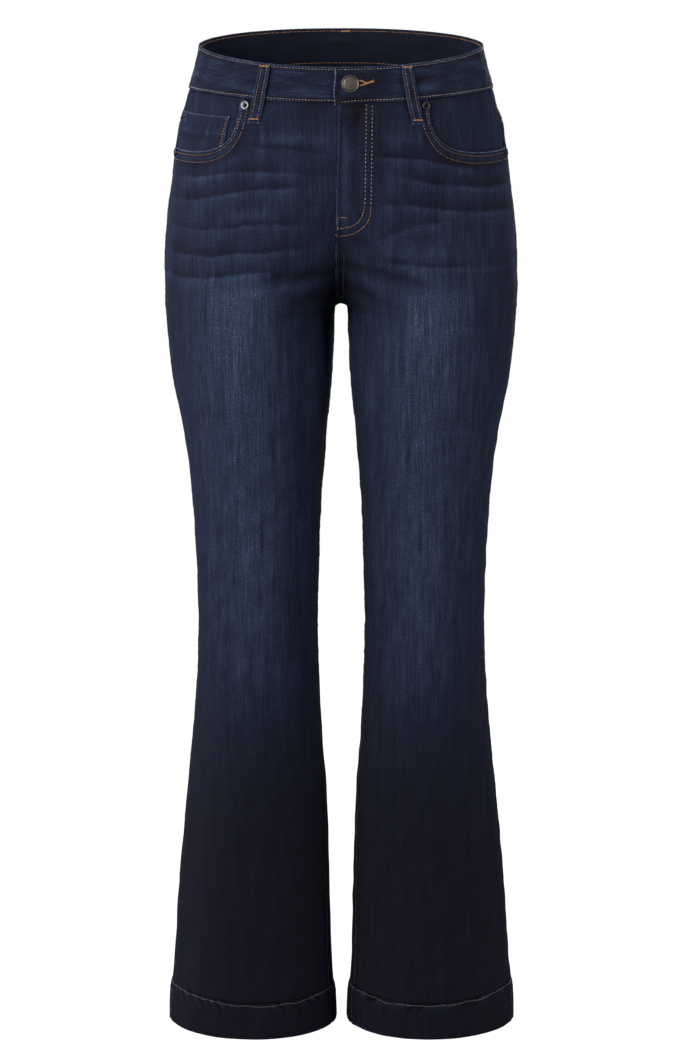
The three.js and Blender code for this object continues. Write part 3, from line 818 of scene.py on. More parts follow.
def smooth_path(points, count):
    """A curve through the points, evenly divided."""
    points = np.array(points, float)
    padded = np.concatenate([[2 * points[0] - points[1]], points, [2 * points[-1] - points[-2]]])
    steps = np.linspace(0, len(points) - 1, 40 * len(points))
    k = np.minimum(steps.astype(int), len(points) - 2)
    t = (steps - k)[:, None]
    a, b, c, d = padded[k], padded[k + 1], padded[k + 2], padded[k + 3]
    path = 0.5 * (2 * b + (c - a) * t + (2 * a - 5 * b + 4 * c - d) * t ** 2
                  + (3 * b - a - 3 * c + d) * t ** 3)
    length = np.concatenate([[0], np.cumsum(np.linalg.norm(np.diff(path, axis=0), axis=1))])
    even = np.linspace(0, length[-1], count)
    return np.stack([np.interp(even, length, path[:, n]) for n in range(points.shape[1])], -1)


def centre_angle(x, z):
    """The wearer's left leg's angle at a distance from the middle, less than 0 past it."""
    return np.where(x >= 0, angle_at(np.abs(x), z), 2 * angle_at(0, z) - angle_at(np.abs(x), z))


def fly_path(points, count):
    """The angles and heights of a curve through places on the fly."""
    x, z = smooth_path(points, count).T
    return centre_angle(x, z), z


FLY_LINES = [form_point(LEFT, *fly_path(row, 120)) for row in FLY_ROWS]

# Short pulls in the fly shield, up to where the button takes the strain.
FLY_PULLS = [form_point(LEFT, *fly_path(row, 16)) for row in (
    [(1, -72), (10, -69), (19, -64)],
    [(8, -80), (15, -75), (21, -65)],
    [(3, -57), (16, -58), (26, -56)],
)]


def seam_pucker(seed, z):
    """How strongly a seam is drawn in from place to place."""
    return 0.6 + 0.4 * waves(seed, z, 0, 14, 1) + 0.25 * waves(seed + 1, z, 0, 5, 1)


def side_seam_shape(side, angle, z):
    """The pressed-open side seam and the inside seam: a narrow valley and the
    ridge of the allowance under it."""
    girth = girth_at(side, angle, z)
    off = np.abs(angle - side_seam_at(z)) * girth
    pucker = seam_pucker(5, z)
    out = -0.85 * hump(off, 1.3) + 0.35 * hump(off - 6.5, 3.2) * pucker
    low = ease(-z, 560, 900)
    tone = 0.10 * hump(off, 0.9) - 0.05 * hump(off - 3, 2) + 0.07 * hump(off - 7.5, 2) * pucker
    tone += 0.22 * low * hump(off - 1.5, 1.1) * pucker
    turn = np.where(angle < 0, angle + 360, angle)
    inner = np.where(z < CROTCH + 4, np.abs(turn - inseam_at(z)) * girth, FAR)
    out = out - 0.7 * hump(inner, 1.0) + 0.5 * hump(inner - 4.5, 3) * seam_pucker(8, z)
    tone += 0.05 * hump(inner - 1.2, 1.0) - 0.06 * hump(inner - 4, 2.4)
    return out, tone


def leg_cloth(side, angle, z):
    """How far a leg panel stands out from the form, and its tone, before its own edges."""
    out, tone = folded(side, angle, z)
    tone += dye_and_painted_light(side, angle, z)
    seam_out, seam_tone = side_seam_shape(side, angle, z)
    return out + seam_out, tone + seam_tone


def pressed_and_shadowed_under_band(angle, z, out, tone):
    """Just below the waistband the cloth is pressed flat, and painted darker with the band's shadow."""
    under = band_bottom(angle) - z
    # Painted shadow under the band's lower edge.
    return out * ease(under, 0, 9) - 0.2 * hump(under - 2, 3), tone - 0.10 * hump(under, 3.5)


def row_spread(z):
    """The rows along the pocket edge lie farther from it towards its lower end."""
    return 1 + 0.28 * ease(-z, 84, 106)


def front_cloth(side, angle, z):
    """How far a front panel stands out from the form, and its tone."""
    point = form_point(side, angle, z)
    out, tone = leg_cloth(side, angle, z)

    # The pocket edge is rolled over and topstitched twice.
    off = distance_to(point, POCKET_LINE[side])
    out -= 0.5 * (1 - ease(off, 0, 0.9))
    tone += 0.46 * hump(off, 0.9)
    off = off / row_spread(z)
    pucker = seam_pucker(21 + side, point[..., 0])
    out += 0.55 * (1 - ease(off, 8, 11))
    for row, spread in zip(POCKET_ROWS, (1.2, 1.4)):
        out -= 0.32 * hump(off - row, 0.9)
        tone -= 0.10 * hump(off - row, spread)
    # Painted shade where the raised allowance steps down beyond the rows; a little lighter between the
    # rows.
    tone += 0.04 * hump(off - 5.5, 1.8) * pucker - 0.07 * hump(off - 12, 2.5)
    out, tone = pressed_and_shadowed_under_band(angle, z, out, tone)

    x = side * point[..., 0]
    high = 1 - ease(-z, 60, 105)
    if side == LEFT:
        # The fly shield stands proud, with the zip's ridge under it.
        in_fly = (1 - ease(-z, 184, 206)) * (1 - ease(x, 30, 37))
        edge = x + fly_at(z)
        worn = ease(z, CROTCH, CROTCH + 8) * (0.75 + 0.25 * waves(31, z, 0, 9, 1))
        dip = 1.1 * hump(x - 17, 5) * (1 - ease(-z, 130, 170))
        out += in_fly * (0.6 + 0.6 * hump(x - 6, 6) - dip + 0.35 * waves(33, x, z, 16, 22))
        out -= 0.7 * (1 - ease(edge, 0, 0.9))
        tone += (0.28 + 0.06 * ease(-z, 150, 220)) * worn * (1 - ease(edge, 0.9, 1.9))
        tone -= 0.08 * hump(edge - 3, 1.3)
        tone += 0.07 * in_fly * hump(x - 6, 4) * ease(-z, 80, 120)
        # Painted shade down the hollow beside the zip's ridge.
        tone -= 0.06 * in_fly * hump(x - 17, 6) * (1 - ease(-z, 130, 190))
        # Painted shade under the waistband near the middle.
        tone -= 0.06 * high * (1 - ease(x, 40, 60))
        for line in FLY_PULLS:
            near = distance_to(point, line)
            out -= 0.6 * hump(near, 2.2)
            # Painted shade in each pull's crease.
            tone -= 0.09 * hump(near, 2.8)
        for line in FLY_LINES:
            near = distance_to(point, line)
            out -= 0.3 * hump(near, 1.0)
            tone -= 0.06 * hump(near, 1.4)
        # Below the fly the seam's allowance makes a low ridge.
        below = ease(-z, 196, 206) * (1 - ease(-z, 268, 277))
        out += 0.45 * below * (1 - ease(x, 4.5, 8))
        tone -= 0.06 * below * hump(x - 4, 4)
    else:
        # The other front dips under the fold, and is painted darker there with the fold's shadow, and
        # near the middle with shade under the waistband.
        edge = x - fly_at(z)
        above = ease(z, CROTCH - 10, CROTCH + 16)
        out -= 0.25 * above * (1 - ease(edge, 0, 4))
        tone -= 0.05 * above * hump(edge, 1.6) + 0.04 * high * (1 - ease(edge, 40, 60))
    return out, tone


# The hem's upper edge, which sits a little higher at the outer side.
hem_line = through([-180, -150, -95, -60, -26, 0, 26, 47, 64, 81, 94, 125, 144, 165, 180],
                   [1.0, 0.5, -1.5, -0.5, 3.0, 5.0, 5.5, 4.0, 2.0, -0.5, -1.5, -1.5, 0.5, 1.0, 1.0])


def near_hem(angle, z):
    """Heights moved so that the leg's last row runs along the hem's edge."""
    turn = (angle + 180) % 360 - 180
    return z + hem_line(turn) * ease(-z, 940, -HEM_TOP)


LOWER_ROWS = np.concatenate([
    np.linspace(POCKET_FLAT, -300, 88)[1:],
    np.linspace(-300, HEM_TOP, 228)[1:],
])


def leg_grid(shares, tops, upper_rows, angle_of):
    """The places of a leg panel: rows down from its top edge, then down the leg."""
    t = np.linspace(0, 1, upper_rows + 1)[:, None] ** 1.25
    upper = tops + (POCKET_FLAT - tops) * t
    z = np.concatenate([upper, np.repeat(LOWER_ROWS[:, None], len(shares), axis=1)])
    if (z.shape[0] - 1) % 2:
        z = np.delete(z, -2, axis=0)
    angle = angle_of(np.broadcast_to(shares, z.shape), z)
    return near_hem(angle, z), angle


COLUMNS_AT = -150.0            # the height at which the columns across the fly are set out

for side, name in SIDES:
    reach_share = POCKET_REACH[side]
    pocket_part = reach_share * np.sin(np.linspace(0, 1, 61) ** 1.35 * np.pi / 2)
    # Columns stand evenly across the fly, where the form turns fast.
    fly = fly_at(COLUMNS_AT)
    across = np.linspace(18, -fly if side == LEFT else fly + FLY_CLEAR, 33)
    seam, end = side_seam_at(COLUMNS_AT), front_end(side, COLUMNS_AT)
    near_fly = (centre_angle(across, COLUMNS_AT) - seam) / (end - seam)
    near_fly[-1] = 1
    beyond = np.concatenate([np.linspace(reach_share, near_fly[0], 37)[1:-1], near_fly])
    shares = np.concatenate([pocket_part, beyond, [1]])
    shares = shares[:len(shares) // 2 * 2 - 1]
    z, angle = leg_grid(shares, front_top(side, shares), 60,
                        lambda share, z: front_angle(side, share, z))
    out, tone = front_cloth(side, angle, z)
    cloth_wall(f"{name}_front", f"front_{name}", side, angle, z, out, DENIM, tone)

# ---- backs and yokes ---------------------------------------------------------
# Two back panels with a shaped yoke above each, flat-felled together and
# down the centre back, in the same denim.

YOKE_SIDE = -80                # the yoke seam's height at the side
YOKE_CENTRE = -97              # and at the middle
BACK_CLEAR = 0.1               # from the middle to each back panel's edge


def back_end(z):
    return np.where(z < CROTCH, 360 - inseam_at(z) - SEAM_CLEAR, angle_at(BACK_CLEAR, z))


def back_angle(share, z):
    """The angle at a share of the way across a back panel, from the side seam."""
    start = side_seam_at(z) - SEAM_CLEAR
    return start + (-back_end(z) - start) * share


def yoke_seam(share):
    return YOKE_SIDE + (YOKE_CENTRE - YOKE_SIDE) * share


def back_cloth(side, angle, z):
    """How far a back panel or yoke stands out from the form, and its tone."""
    out, tone = leg_cloth(side, angle, z)
    # Centre back seam: felled, so one side stands a little proud.
    x = np.abs(form_point(side, angle, z)[..., 0])
    high = ease(z, CROTCH - 4, CROTCH + 14) * (angle < 0)
    proud = 0.7 if side == LEFT else 0.0
    out += high * (proud * (1 - ease(x, 9, 11)) - 0.5 * hump(x, 1.0))
    tone += high * ((0.2 if side == LEFT else -0.1) * hump(x, 1.1) - 0.08 * hump(x - 9, 3))
    # Yoke seam: the yoke is felled over the panel. Just below it the panel dips
    # and is painted darker with the yoke edge's shadow; the yoke's own edge is
    # worn lighter.
    share = np.clip(-angle / 100, 0, 1)
    off = yoke_seam(share) - z
    out += np.where(off > 0, -0.35 * hump(off, 3), 0.35 * (1 - ease(-off, 9, 12)))
    tone += np.where(off > 0, -0.12 * hump(off, 3), 0.22 * hump(off, 1.0))
    return pressed_and_shadowed_under_band(angle, z, out, tone)


for side, name in SIDES:
    shares = clustered(110)
    tops = yoke_seam(shares)
    z, angle = leg_grid(shares, tops, 20, back_angle)
    out, tone = back_cloth(side, angle, z)
    cloth_wall(f"{name}_back", f"back_{name}", side, angle, z, out, DENIM, tone)
    shares = clustered(90)
    down = np.linspace(0, 1, 31)[:, None]
    top = band_bottom(back_angle(shares, BAND_SIDE)) + INTO_BAND
    z = top + (yoke_seam(shares) - top) * down
    angle = back_angle(np.broadcast_to(shares, z.shape), z)
    out, tone = back_cloth(side, angle, z)
    cloth_wall(f"{name}_yoke", f"yoke_{name}", side, angle, z, out, DENIM, tone)

# ---- hems --------------------------------------------------------------------
# The ends of the leg panels, turned up twice and topstitched, so each hem is
# three layers thick and ropes a little where the thread draws it in.

HEM_BOTTOM = -1111
HEM_TILT = 2                   # lower by this at the inner side, and higher at the outer
HEM_WALL = 2.8
HEM_ROW = 2.2                  # topstitching, below the hem's upper edge
HEM_DEGREE = 1.6               # scale of the roping round the hem, for each degree


def hem_cloth(side, angle, z):
    """It carries the leg's folds on, ropes along its stitching and is worn at its edge."""
    out, tone = folded(side, angle, np.maximum(z, HEM_TOP - 6))
    tone += dye_and_painted_light(side, angle, z)
    around = angle * HEM_DEGREE
    down = near_hem(angle, HEM_TOP) - z
    rope = waves(61 + side, around - down * 0.9, 0, 13, 1)
    fine = waves(65 + side, around - down * 0.7, 0, 6, 1)
    drawn = hump(down - HEM_ROW, 7)
    out += 1.0 * ease(down, 0.5, 6) + 0.35 * rope * drawn + 0.18 * fine * hump(down - HEM_ROW, 4)
    out = out - 0.45 * hump(down - HEM_ROW, 1.0) + 0.3 * hump(down - 12, 3)
    edge = z - HEM_BOTTOM
    out -= 0.7 * (1 - ease(edge, 0, 1.6))
    tone += 0.10 * rope * drawn + 0.22 * hump(edge, 1.2)
    tone += 0.14 * hump(down - 0.6, 0.9) * (0.5 + 0.5 * rope)
    girth = girth_at(side, angle, z)
    off = np.abs((angle + 180) % 360 - 180 - side_seam_at(z)) * girth
    inner = np.abs(angle % 360 - inseam_at(z)) * girth
    out = out - 0.6 * hump(off, 1.2) + 0.3 * hump(off - 6, 3)
    out = out - 0.6 * hump(inner, 1.2) + 0.4 * hump(inner - 5, 3)
    tone += 0.16 * hump(off - 1.4, 1.0)
    return out, tone


for side, name in SIDES:
    down = clustered(30, 0.5)[:, None]
    angle = np.broadcast_to(np.linspace(0, 1, 217) * 360 - 180, (31, 217))
    bottom = HEM_BOTTOM + HEM_TILT * np.cos(np.radians(angle))
    top = near_hem(angle, HEM_TOP)
    z = top + (bottom - top) * down
    out, tone = hem_cloth(side, angle, z)
    cloth_wall(f"{name}_hem", f"hem_{name}", side, angle, z, out, HEM_WALL, tone, ring=True)

# ---- waistband ---------------------------------------------------------------
# One straight strip folded over at the top, so two layers of denim with a
# rolled upper edge, sewn round the top of the panels. It laps at the front.

WAIST_DIP = 16.2               # of the upper edge at centre front, below the sides
WAIST_RISE = 11                # and its rise at centre back
BAND_OUT = 1.2                 # the outer face, off the form
BAND_IN = -1.4                 # and the inner one
BAND_DEGREE = 2.25             # what one degree round the waist measures
BAND_ROLL = 0.75               # how far the upper edge is rounded over, as a share
BAND_ROWS = 30
BAND_COLUMNS = 360             # from one side of the tab round to the other
TAB_EDGE = 7                   # the lapped end, to the wearer's right of the middle
TAB_ROUND = 3.2                # radius of its upper corner
TAB_DROOP = 2.4                # how far it hangs lower
UNDERLAP = 38                  # how far the other end runs on under it
LAP_SHIFT = BAND_OUT - BAND_IN + SEAM_GAP


def waist_top(angle):
    """The height of the waistband's upper edge."""
    return WAIST_RISE * backness(angle) - WAIST_DIP * frontness(angle) ** 1.5


def front_turn(x):
    """Degrees round the waist from centre front to a distance x from it."""
    return 90 - angle_at(x, BAND_SIDE) * 90 / angle_at(0, BAND_SIDE)


LAP_X = np.linspace(-60, 60, 481)
LAP_TURN = np.sign(LAP_X) * front_turn(np.abs(LAP_X))


def lap_turn(x):
    """The turn at a distance from centre front, towards the wearer's left."""
    return np.interp(x, LAP_X, LAP_TURN)


def lap_x(turn):
    """The distance from centre front at which a turn close to it lies."""
    return np.interp(turn, LAP_TURN, LAP_X)


def form_angle(turn):
    turn = np.mod(turn, 360)
    return np.where(turn < 180, 90 - turn, turn - 270)


def band_place(turn, down):
    """The side, angle and height at a turn from centre front, and at a share of
    the band's height from its top edge."""
    droop = TAB_DROOP * (1 - ease(lap_x(turn), -TAB_EDGE, 22)) * down ** 2
    side = np.where(np.mod(turn, 360) < 180, 1.0, -1.0)
    angle = form_angle(turn)
    z = waist_top(angle) + (band_bottom(angle) - waist_top(angle)) * down - droop
    return side, angle * angle_at(0, z) / 90, z


def band_height(turn):
    angle = form_angle(turn)
    return waist_top(angle) - band_bottom(angle)


def band_ripple(turn, below):
    """Slight unevenness of the band, at a distance below its top edge."""
    around = np.mod(turn, 360) * DEGREE
    uneven = 0.28 * waves(81, around, below, 38, 30) + 0.10 * waves(82, around, below, 11, 12)
    pulled = 0.35 * hump(below - 22, 4) * hump(np.mod(turn, 360) - 14, 9)
    return uneven - pulled


def band_shape(turn, below):
    """How far the band's face stands out at a distance below its top edge, and its tone."""
    height = band_height(turn)
    above = height - below
    around = np.mod(turn, 360) * DEGREE
    pucker = seam_pucker(83, around)
    out = band_ripple(turn, below) + 0.25
    out -= 0.35 * hump(below - 2.8, 0.9) + 0.35 * hump(above - 2.2, 0.9)
    out -= 0.7 * (1 - ease(above, 0, 1.0))
    out = out - 0.18 * hump(below - 7, 4) * pucker + 0.25 * hump(below - 14, 5)
    tone = 0.27 + 0.05 * waves(84, around, below, 60, 16) + 0.04 * waves(85, around, below, 30, 7)
    tone += 0.34 * hump(below, 1.3) + 0.34 * hump(above, 0.9) * (0.6 + 0.4 * pucker)
    tone -= 0.08 * hump(below - 3.2, 1.2) + 0.10 * hump(above - 2.6, 1.2)
    return out, tone


def lap_shift(turn):
    """The end under the tab lies behind it."""
    return -LAP_SHIFT * ease(turn, 360 - front_turn(UNDERLAP + 12), 360 - front_turn(TAB_EDGE + 2))


# Columns stand closest at the two ends.
band_start = -front_turn(TAB_EDGE)
turn = np.concatenate([
    lap_turn(np.concatenate([np.linspace(-TAB_EDGE, -2, 13)[:-1], np.linspace(-2, 16, 31)])),
    np.linspace(lap_turn(16), 360 + lap_turn(-16), BAND_COLUMNS)[1:-1],
    360 + lap_turn(np.linspace(-16, 16, 33)),
    np.linspace(360 + lap_turn(16), 360 + lap_turn(UNDERLAP - 5), 14)[1:-1],
    360 + lap_turn(np.linspace(UNDERLAP - 5, UNDERLAP, 13)),
])
height = band_height(turn)[None, :]
down = clustered(BAND_ROWS, 0.75)[:, None]
corner = np.clip(TAB_ROUND - (lap_x(turn) + TAB_EDGE), 0, TAB_ROUND)
drop = (TAB_ROUND - np.sqrt(TAB_ROUND ** 2 - corner ** 2))[None, :]
below = drop + down * (height - drop)
# The tab's edge is not quite straight.
sway = 0.7 * np.sin(2 * np.pi * (down + 0.1)) * (1 - ease(lap_x(turn), -TAB_EDGE, 6))[None, :]
turns = np.where(turn < lap_turn(16), lap_turn(lap_x(turn) + sway), turn)
side, angle, z = band_place(turns, below / height)
base = form_point(side, angle, z)
normal = form_normal(base)
shape, tone = band_shape(turns, below)
shift = lap_shift(turns)
tab_in = np.where(turn < 60, lap_x(turn) + TAB_EDGE, FAR)[None, :]
under_in = np.where(turn > 300, UNDERLAP - lap_x(turn - 360), FAR)[None, :]
tab_end = np.minimum(tab_in, under_in)
shape -= 0.6 * (1 - ease(tab_end, 0, 1.0)) + 0.35 * hump(tab_end - 3.2, 1.0)
shape += 0.9 * (1 - ease(tab_in, 0, 16)) * (below / height) ** 3
tone += 0.36 * (1 - ease(tab_end, 0.9, 1.8)) - 0.10 * hump(tab_end - 3.4, 1.2)
near_tab = (1 - ease(turns, lap_turn(40), lap_turn(58))) * ease(turns, -30, 0)
tone -= 0.09 * near_tab * ease(tab_end, 1, 4)
outer_face = base + normal * (BAND_OUT + shape + shift)[..., None]
roll = (BAND_OUT - BAND_IN) / 2 * np.clip(1 - (below - drop) / 1.5, 0, 1) ** 2 * BAND_ROLL
outer_face = outer_face - normal * roll[..., None]
inner_lift = BAND_IN + shift + band_ripple(turns, below) * 0.8 + roll
inner_lift = inner_lift + 0.3 * hump(below - 3, 0.9) + 0.3 * hump(height - below - 2.4, 0.9)
inner_face = base + normal * inner_lift[..., None]

# Faces run round the band's section: down the outside, under, up the inside and over.
rows = turns.shape[0]
outer_index = np.arange(turns.size).reshape(turns.shape)
inner_index = outer_index + turns.size
section = grid_faces(np.concatenate([outer_index, inner_index[::-1], outer_index[:1]]))
section_side = np.zeros(section.shape[:2], np.int32)
section_side[rows:-1] = 1
end_a, end_b = (np.stack([outer_index[:-1, n], outer_index[1:, n], inner_index[1:, n],
                          inner_index[:-1, n]], -1) for n in (0, -1))
points = np.concatenate([outer_face.reshape(-1, 3), inner_face.reshape(-1, 3)])
groups = facing_out(points, [section.reshape(-1, 4), end_a, end_b[:, [0, 3, 2, 1]]])
# The strip is cut along the warp, so its grain runs round the waist.
flat = np.stack([below, turns * BAND_DEGREE], -1).reshape(-1, 2)
flat = np.concatenate([flat, flat + [60, 0]])
corner_uv = np.concatenate([flat[g.ravel()] for g in groups])
inside_tone = 0.19 + 0.03 * waves(86, turns * DEGREE, below, 50, 20) + 0.2 * hump(below, 1.2)
tones = np.concatenate([tone.ravel(), inside_tone.ravel()])
patch = np.concatenate([section_side.ravel(), np.zeros(len(end_a) + len(end_b), np.int32)])
waistband = mesh_piece("waist_band", points, groups, [denim, denim], corner_uv, tones, patch)
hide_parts("waistband")
wide, long, area = flat_size(base)

# ---- front pocket facings and the coin pocket --------------------------------
# Denim facings close the space behind the scooped pocket edges. The small
# coin pocket lies on the wearer's right one, with turned and stitched edges.

COIN_OUT = -DENIM - LAYER_GAP
COIN_WALL = 1.0
FACING_OUT = {RIGHT: COIN_OUT - COIN_WALL - LAYER_GAP, LEFT: COIN_OUT}
FACING_UNDER = 0.1             # how far it runs on under the front, as a share
FACING_BOTTOM = -140
COIN = {"top": -70, "bottom": -130, "inner_top": 46.5, "inner_bottom": 48}    # heights, angles


def seam_rise(side, angle, z):
    """At the side seam what lies in the pocket comes up to the back panel's face."""
    off = (angle - side_seam_at(z)) * girth_at(side, angle, z)
    return (1 - ease(off, 0, 16)) * ease(z, -103, -96)


for side, name in SIDES:
    shares = clustered(64, 0.3) * (POCKET_REACH[side] + FACING_UNDER)
    down = np.linspace(0, 1, 51)[:, None]
    top = band_bottom(front_angle(side, shares, BAND_SIDE)) - BAND_GAP
    z = top + (FACING_BOTTOM - top) * down
    angle = front_angle(side, np.broadcast_to(shares, z.shape), z)
    out, tone = folded(side, angle, z)
    out = out * 0.6 + 0.25 * waves(91 + side, angle * DEGREE, z, 26, 22)
    off = distance_to(form_point(side, angle, z), POCKET_LINE[side])
    # Painted shadow where the facing lies back under the pocket edge and under the waistband, and a
    # little darker all over.
    tone = 0.6 * tone + dye_and_painted_light(side, angle, z) - 0.01 - 0.12 * hump(off, 3.5) - 0.05 * hump(top - z, 4)
    out = out * ease(top - z, 0, 8) - FACING_OUT[side] * 0.75 * seam_rise(side, angle, z)
    cloth_wall(f"{name}_pocket_facing", f"pocket_facing_{name}", side, angle, z,
               FACING_OUT[side] + out, DENIM, tone)


def coin_inner(z):
    """The angle of the coin pocket's inner edge."""
    share = (COIN["top"] - z) / (COIN["top"] - COIN["bottom"])
    return COIN["inner_top"] + (COIN["inner_bottom"] - COIN["inner_top"]) * share


def coin_cloth(angle, z):
    """Its lift and tone, with stitched, worn edges along the top and the inner side."""
    out, tone = folded(RIGHT, angle, z)
    below = COIN["top"] - z
    inside = (coin_inner(z) - angle) * girth_at(RIGHT, angle, z)
    out = out * 0.6 + 0.25 * waves(90, angle * DEGREE, z, 26, 22)
    out += 0.3 - 0.35 * (1 - ease(np.minimum(below, inside), 0, 0.9))
    out -= 0.22 * hump(inside - 3.4, 0.8) + 0.22 * hump(inside - 7.6, 0.8)
    out += 0.5 * hump(z + 87.5, 1.8) - 0.6 * hump(z + 94, 2)
    out -= COIN_OUT * 1.35 * seam_rise(RIGHT, angle, z)
    tone = 0.6 * tone + dye_and_painted_light(RIGHT, angle, z)
    tone += 0.42 * hump(below, 1.0) + 0.40 * hump(inside, 1.0)
    # A wrinkle across the pocket is painted: a highlight on its ridge and shade in its hollow.
    tone = tone - 0.08 * hump(inside - 3.4, 1.2) + 0.08 * hump(z + 88, 1.5) - 0.06 * hump(z + 94, 2)
    return COIN_OUT + out, tone


down = clustered(44, 0.5)[:, None]
z = COIN["top"] + (COIN["bottom"] - COIN["top"]) * down
share = clustered(60, 0.7)
start = side_seam_at(z) + 0.3
angle = start + (coin_inner(z) - start) * share
z = np.broadcast_to(z, angle.shape)
out, tone = coin_cloth(angle, z)
cloth_wall("coin_pocket_cloth", "coin_pocket", RIGHT, angle, z, out, COIN_WALL, tone)

# ---- back pockets ------------------------------------------------------------
# A plain five-sided patch on each back, with a turned top hem and two rows of
# topstitching round the other edges.

BACK_POCKET = {
    # heights, then angles
    "top": -118, "side": -245, "point": -258,
    "outer_top": -20, "inner_top": -86, "outer_low": -26, "inner_low": -84,
}
SEAT_DEGREE = 2.35             # what one degree round the seat measures
POCKET_TALL = BACK_POCKET["top"] - BACK_POCKET["side"]
POCKET_WIDE = (BACK_POCKET["outer_top"] - BACK_POCKET["inner_top"]) * SEAT_DEGREE
POCKET_HEM = 14
BACK_ROWS = (2, 8)             # topstitching, from the pockets' and yokes' edges


def between(start, end, share):
    """A share of the way from one of the back pocket's sizes to another."""
    return BACK_POCKET[start] + (BACK_POCKET[end] - BACK_POCKET[start]) * share


def back_pocket_place(across, down):
    """The angle and height at shares of its width and height."""
    low = between("side", "point", 1 - np.abs(2 * across - 1))
    z = BACK_POCKET["top"] + (low - BACK_POCKET["top"]) * down
    outer = between("outer_top", "outer_low", down)
    inner = between("inner_top", "inner_low", down)
    return outer + (inner - outer) * across, z


def back_pocket_cloth(side, across, down, angle, z):
    """How far a back pocket stands out from the form, and its tone."""
    out, tone = folded(side, angle, z)
    tone += dye_and_painted_light(side, angle, z)
    round_edge = np.minimum(np.minimum(across, 1 - across) * POCKET_WIDE, (1 - down) * POCKET_TALL)
    below = BACK_POCKET["top"] - z
    out += 0.5 + 0.5 * (1 - ease(round_edge, 8, 11))
    out += 0.5 * (1 - ease(below, POCKET_HEM, POCKET_HEM + 2))
    out -= 0.6 * (1 - ease(np.minimum(round_edge, below), 0, 1.0))
    for row in BACK_ROWS:
        out -= 0.3 * hump(round_edge - row, 0.9)
        tone -= 0.05 * hump(round_edge - row, 1.3)
    out += 1.2 * hump(across - 0.5, 0.35) * hump(down - 0.1, 0.3)
    tone += 0.24 * hump(np.minimum(round_edge, below), 1.0) + 0.05 * hump(round_edge - 5, 2)
    # Painted shade just below the hem's step; lighter on the hem itself.
    tone += 0.06 * hump(below - 5, 5) - 0.05 * hump(below - POCKET_HEM - 2, 2)
    return LAYER_GAP + DENIM + out, tone


for side, name in SIDES:
    across, down = np.meshgrid(clustered(72, 0.6), clustered(64, 0.5))
    angle, z = back_pocket_place(across, down)
    out, tone = back_pocket_cloth(side, across, down, angle, z)
    cloth_wall(f"{name}_back_pocket", f"back_pocket_{name}", side, angle, z, out, DENIM, tone)

# ---- belt loops --------------------------------------------------------------
# Five folded strips of denim, tucked under and bartacked at both ends, with
# two rows of stitching down each.

LOOP = {"width": 11.5, "wall": 1.6, "drop": 61.5, "below_top": 1.5, "bow": 2.2, "foot": 9}
LOOPS = [
    # name, side, angle
    ("front_right", RIGHT, 59.2),
    ("front_left", LEFT, 63.4),
    ("side_right", RIGHT, -14.0),
    ("side_left", LEFT, -14.0),
    ("centre_back", LEFT, -float(angle_at(0, BAND_SIDE))),
]


def loop_lift(down, band_share):
    """How far a loop's underside is off the form along its length."""
    foot = 1 - LOOP["foot"] / LOOP["drop"]
    bow = np.sin(np.pi * np.clip(down / band_share, 0, 1)) ** 0.7
    bowed = BAND_OUT + LAYER_GAP + 0.4 + LOOP["bow"] * bow
    low = 1.2 + BAND_OUT * (1 - np.clip((down - band_share) / (foot - band_share), 0, 1))
    lift = np.where(down > band_share, low + 0.2, bowed)
    return np.where(down > foot, low + (LAYER_GAP + 0.3 - low) * ease(down, foot, 1), lift)


def loop_top(side, angle):
    """The height of a loop's upper end, and what one degree measures there."""
    top = waist_top(angle) - LOOP["below_top"]
    at_top = form_point(side, np.array([angle, angle + 1.0]), top)
    return top, np.linalg.norm(at_top[1] - at_top[0])


def loop_place(side, angle, across, down):
    """The angle and height at a distance across from its middle and a share of its length."""
    top, degree = loop_top(side, angle)
    return angle + across * (1 + 0.09 * down) / degree, top - LOOP["drop"] * down


def loop_cloth(angle, across, down):
    """How far a belt loop stands out from the form, and its tone."""
    top = waist_top(angle) - LOOP["below_top"]
    band_share = (top - band_bottom(angle) + 3) / LOOP["drop"]
    edge = LOOP["width"] / 2 - np.abs(across)
    ends = np.minimum(down, 1 - down) * LOOP["drop"]
    out = loop_lift(down, band_share) + LOOP["wall"]
    out -= 0.7 * (1 - ease(edge, 0, 1.1)) + 0.7 * (1 - ease(ends, 0, 1.0))
    out += 0.35 * hump(edge - 1.1, 0.8) - 0.28 * hump(edge - 2.9, 0.7) + 0.15 * hump(across, 1.6)
    out += 0.10 * waves(int(angle) + 7, across, down * LOOP["drop"], 9, 9)
    tone = 0.28 + 0.24 * hump(edge, 1.0) + 0.42 * hump(ends, 0.9) - 0.10 * hump(edge - 2.9, 0.9)
    tone += 0.05 * waves(int(angle) + 8, across, down * LOOP["drop"], 8, 16)
    return out, tone


for name, side, angle in LOOPS:
    across, down = np.meshgrid((clustered(20, 0.6) - 0.5) * LOOP["width"], clustered(60, 0.5))
    spread, z = loop_place(side, angle, across, down)
    out, tone = loop_cloth(angle, across, down)
    cloth_wall(f"loop_{name}", f"belt_loop_{name}", side, spread, z, out, LOOP["wall"], tone,
               under=denim)

# ---- topstitching ------------------------------------------------------------
# Thick cotton-wrapped thread in tan, gold and darker shades, about eight
# stitches to the inch. Each stitch dips into the cloth at its ends.

STITCH_SIDES = 5
ONE_STITCH = 99                # a pitch longer than any single stitch's row


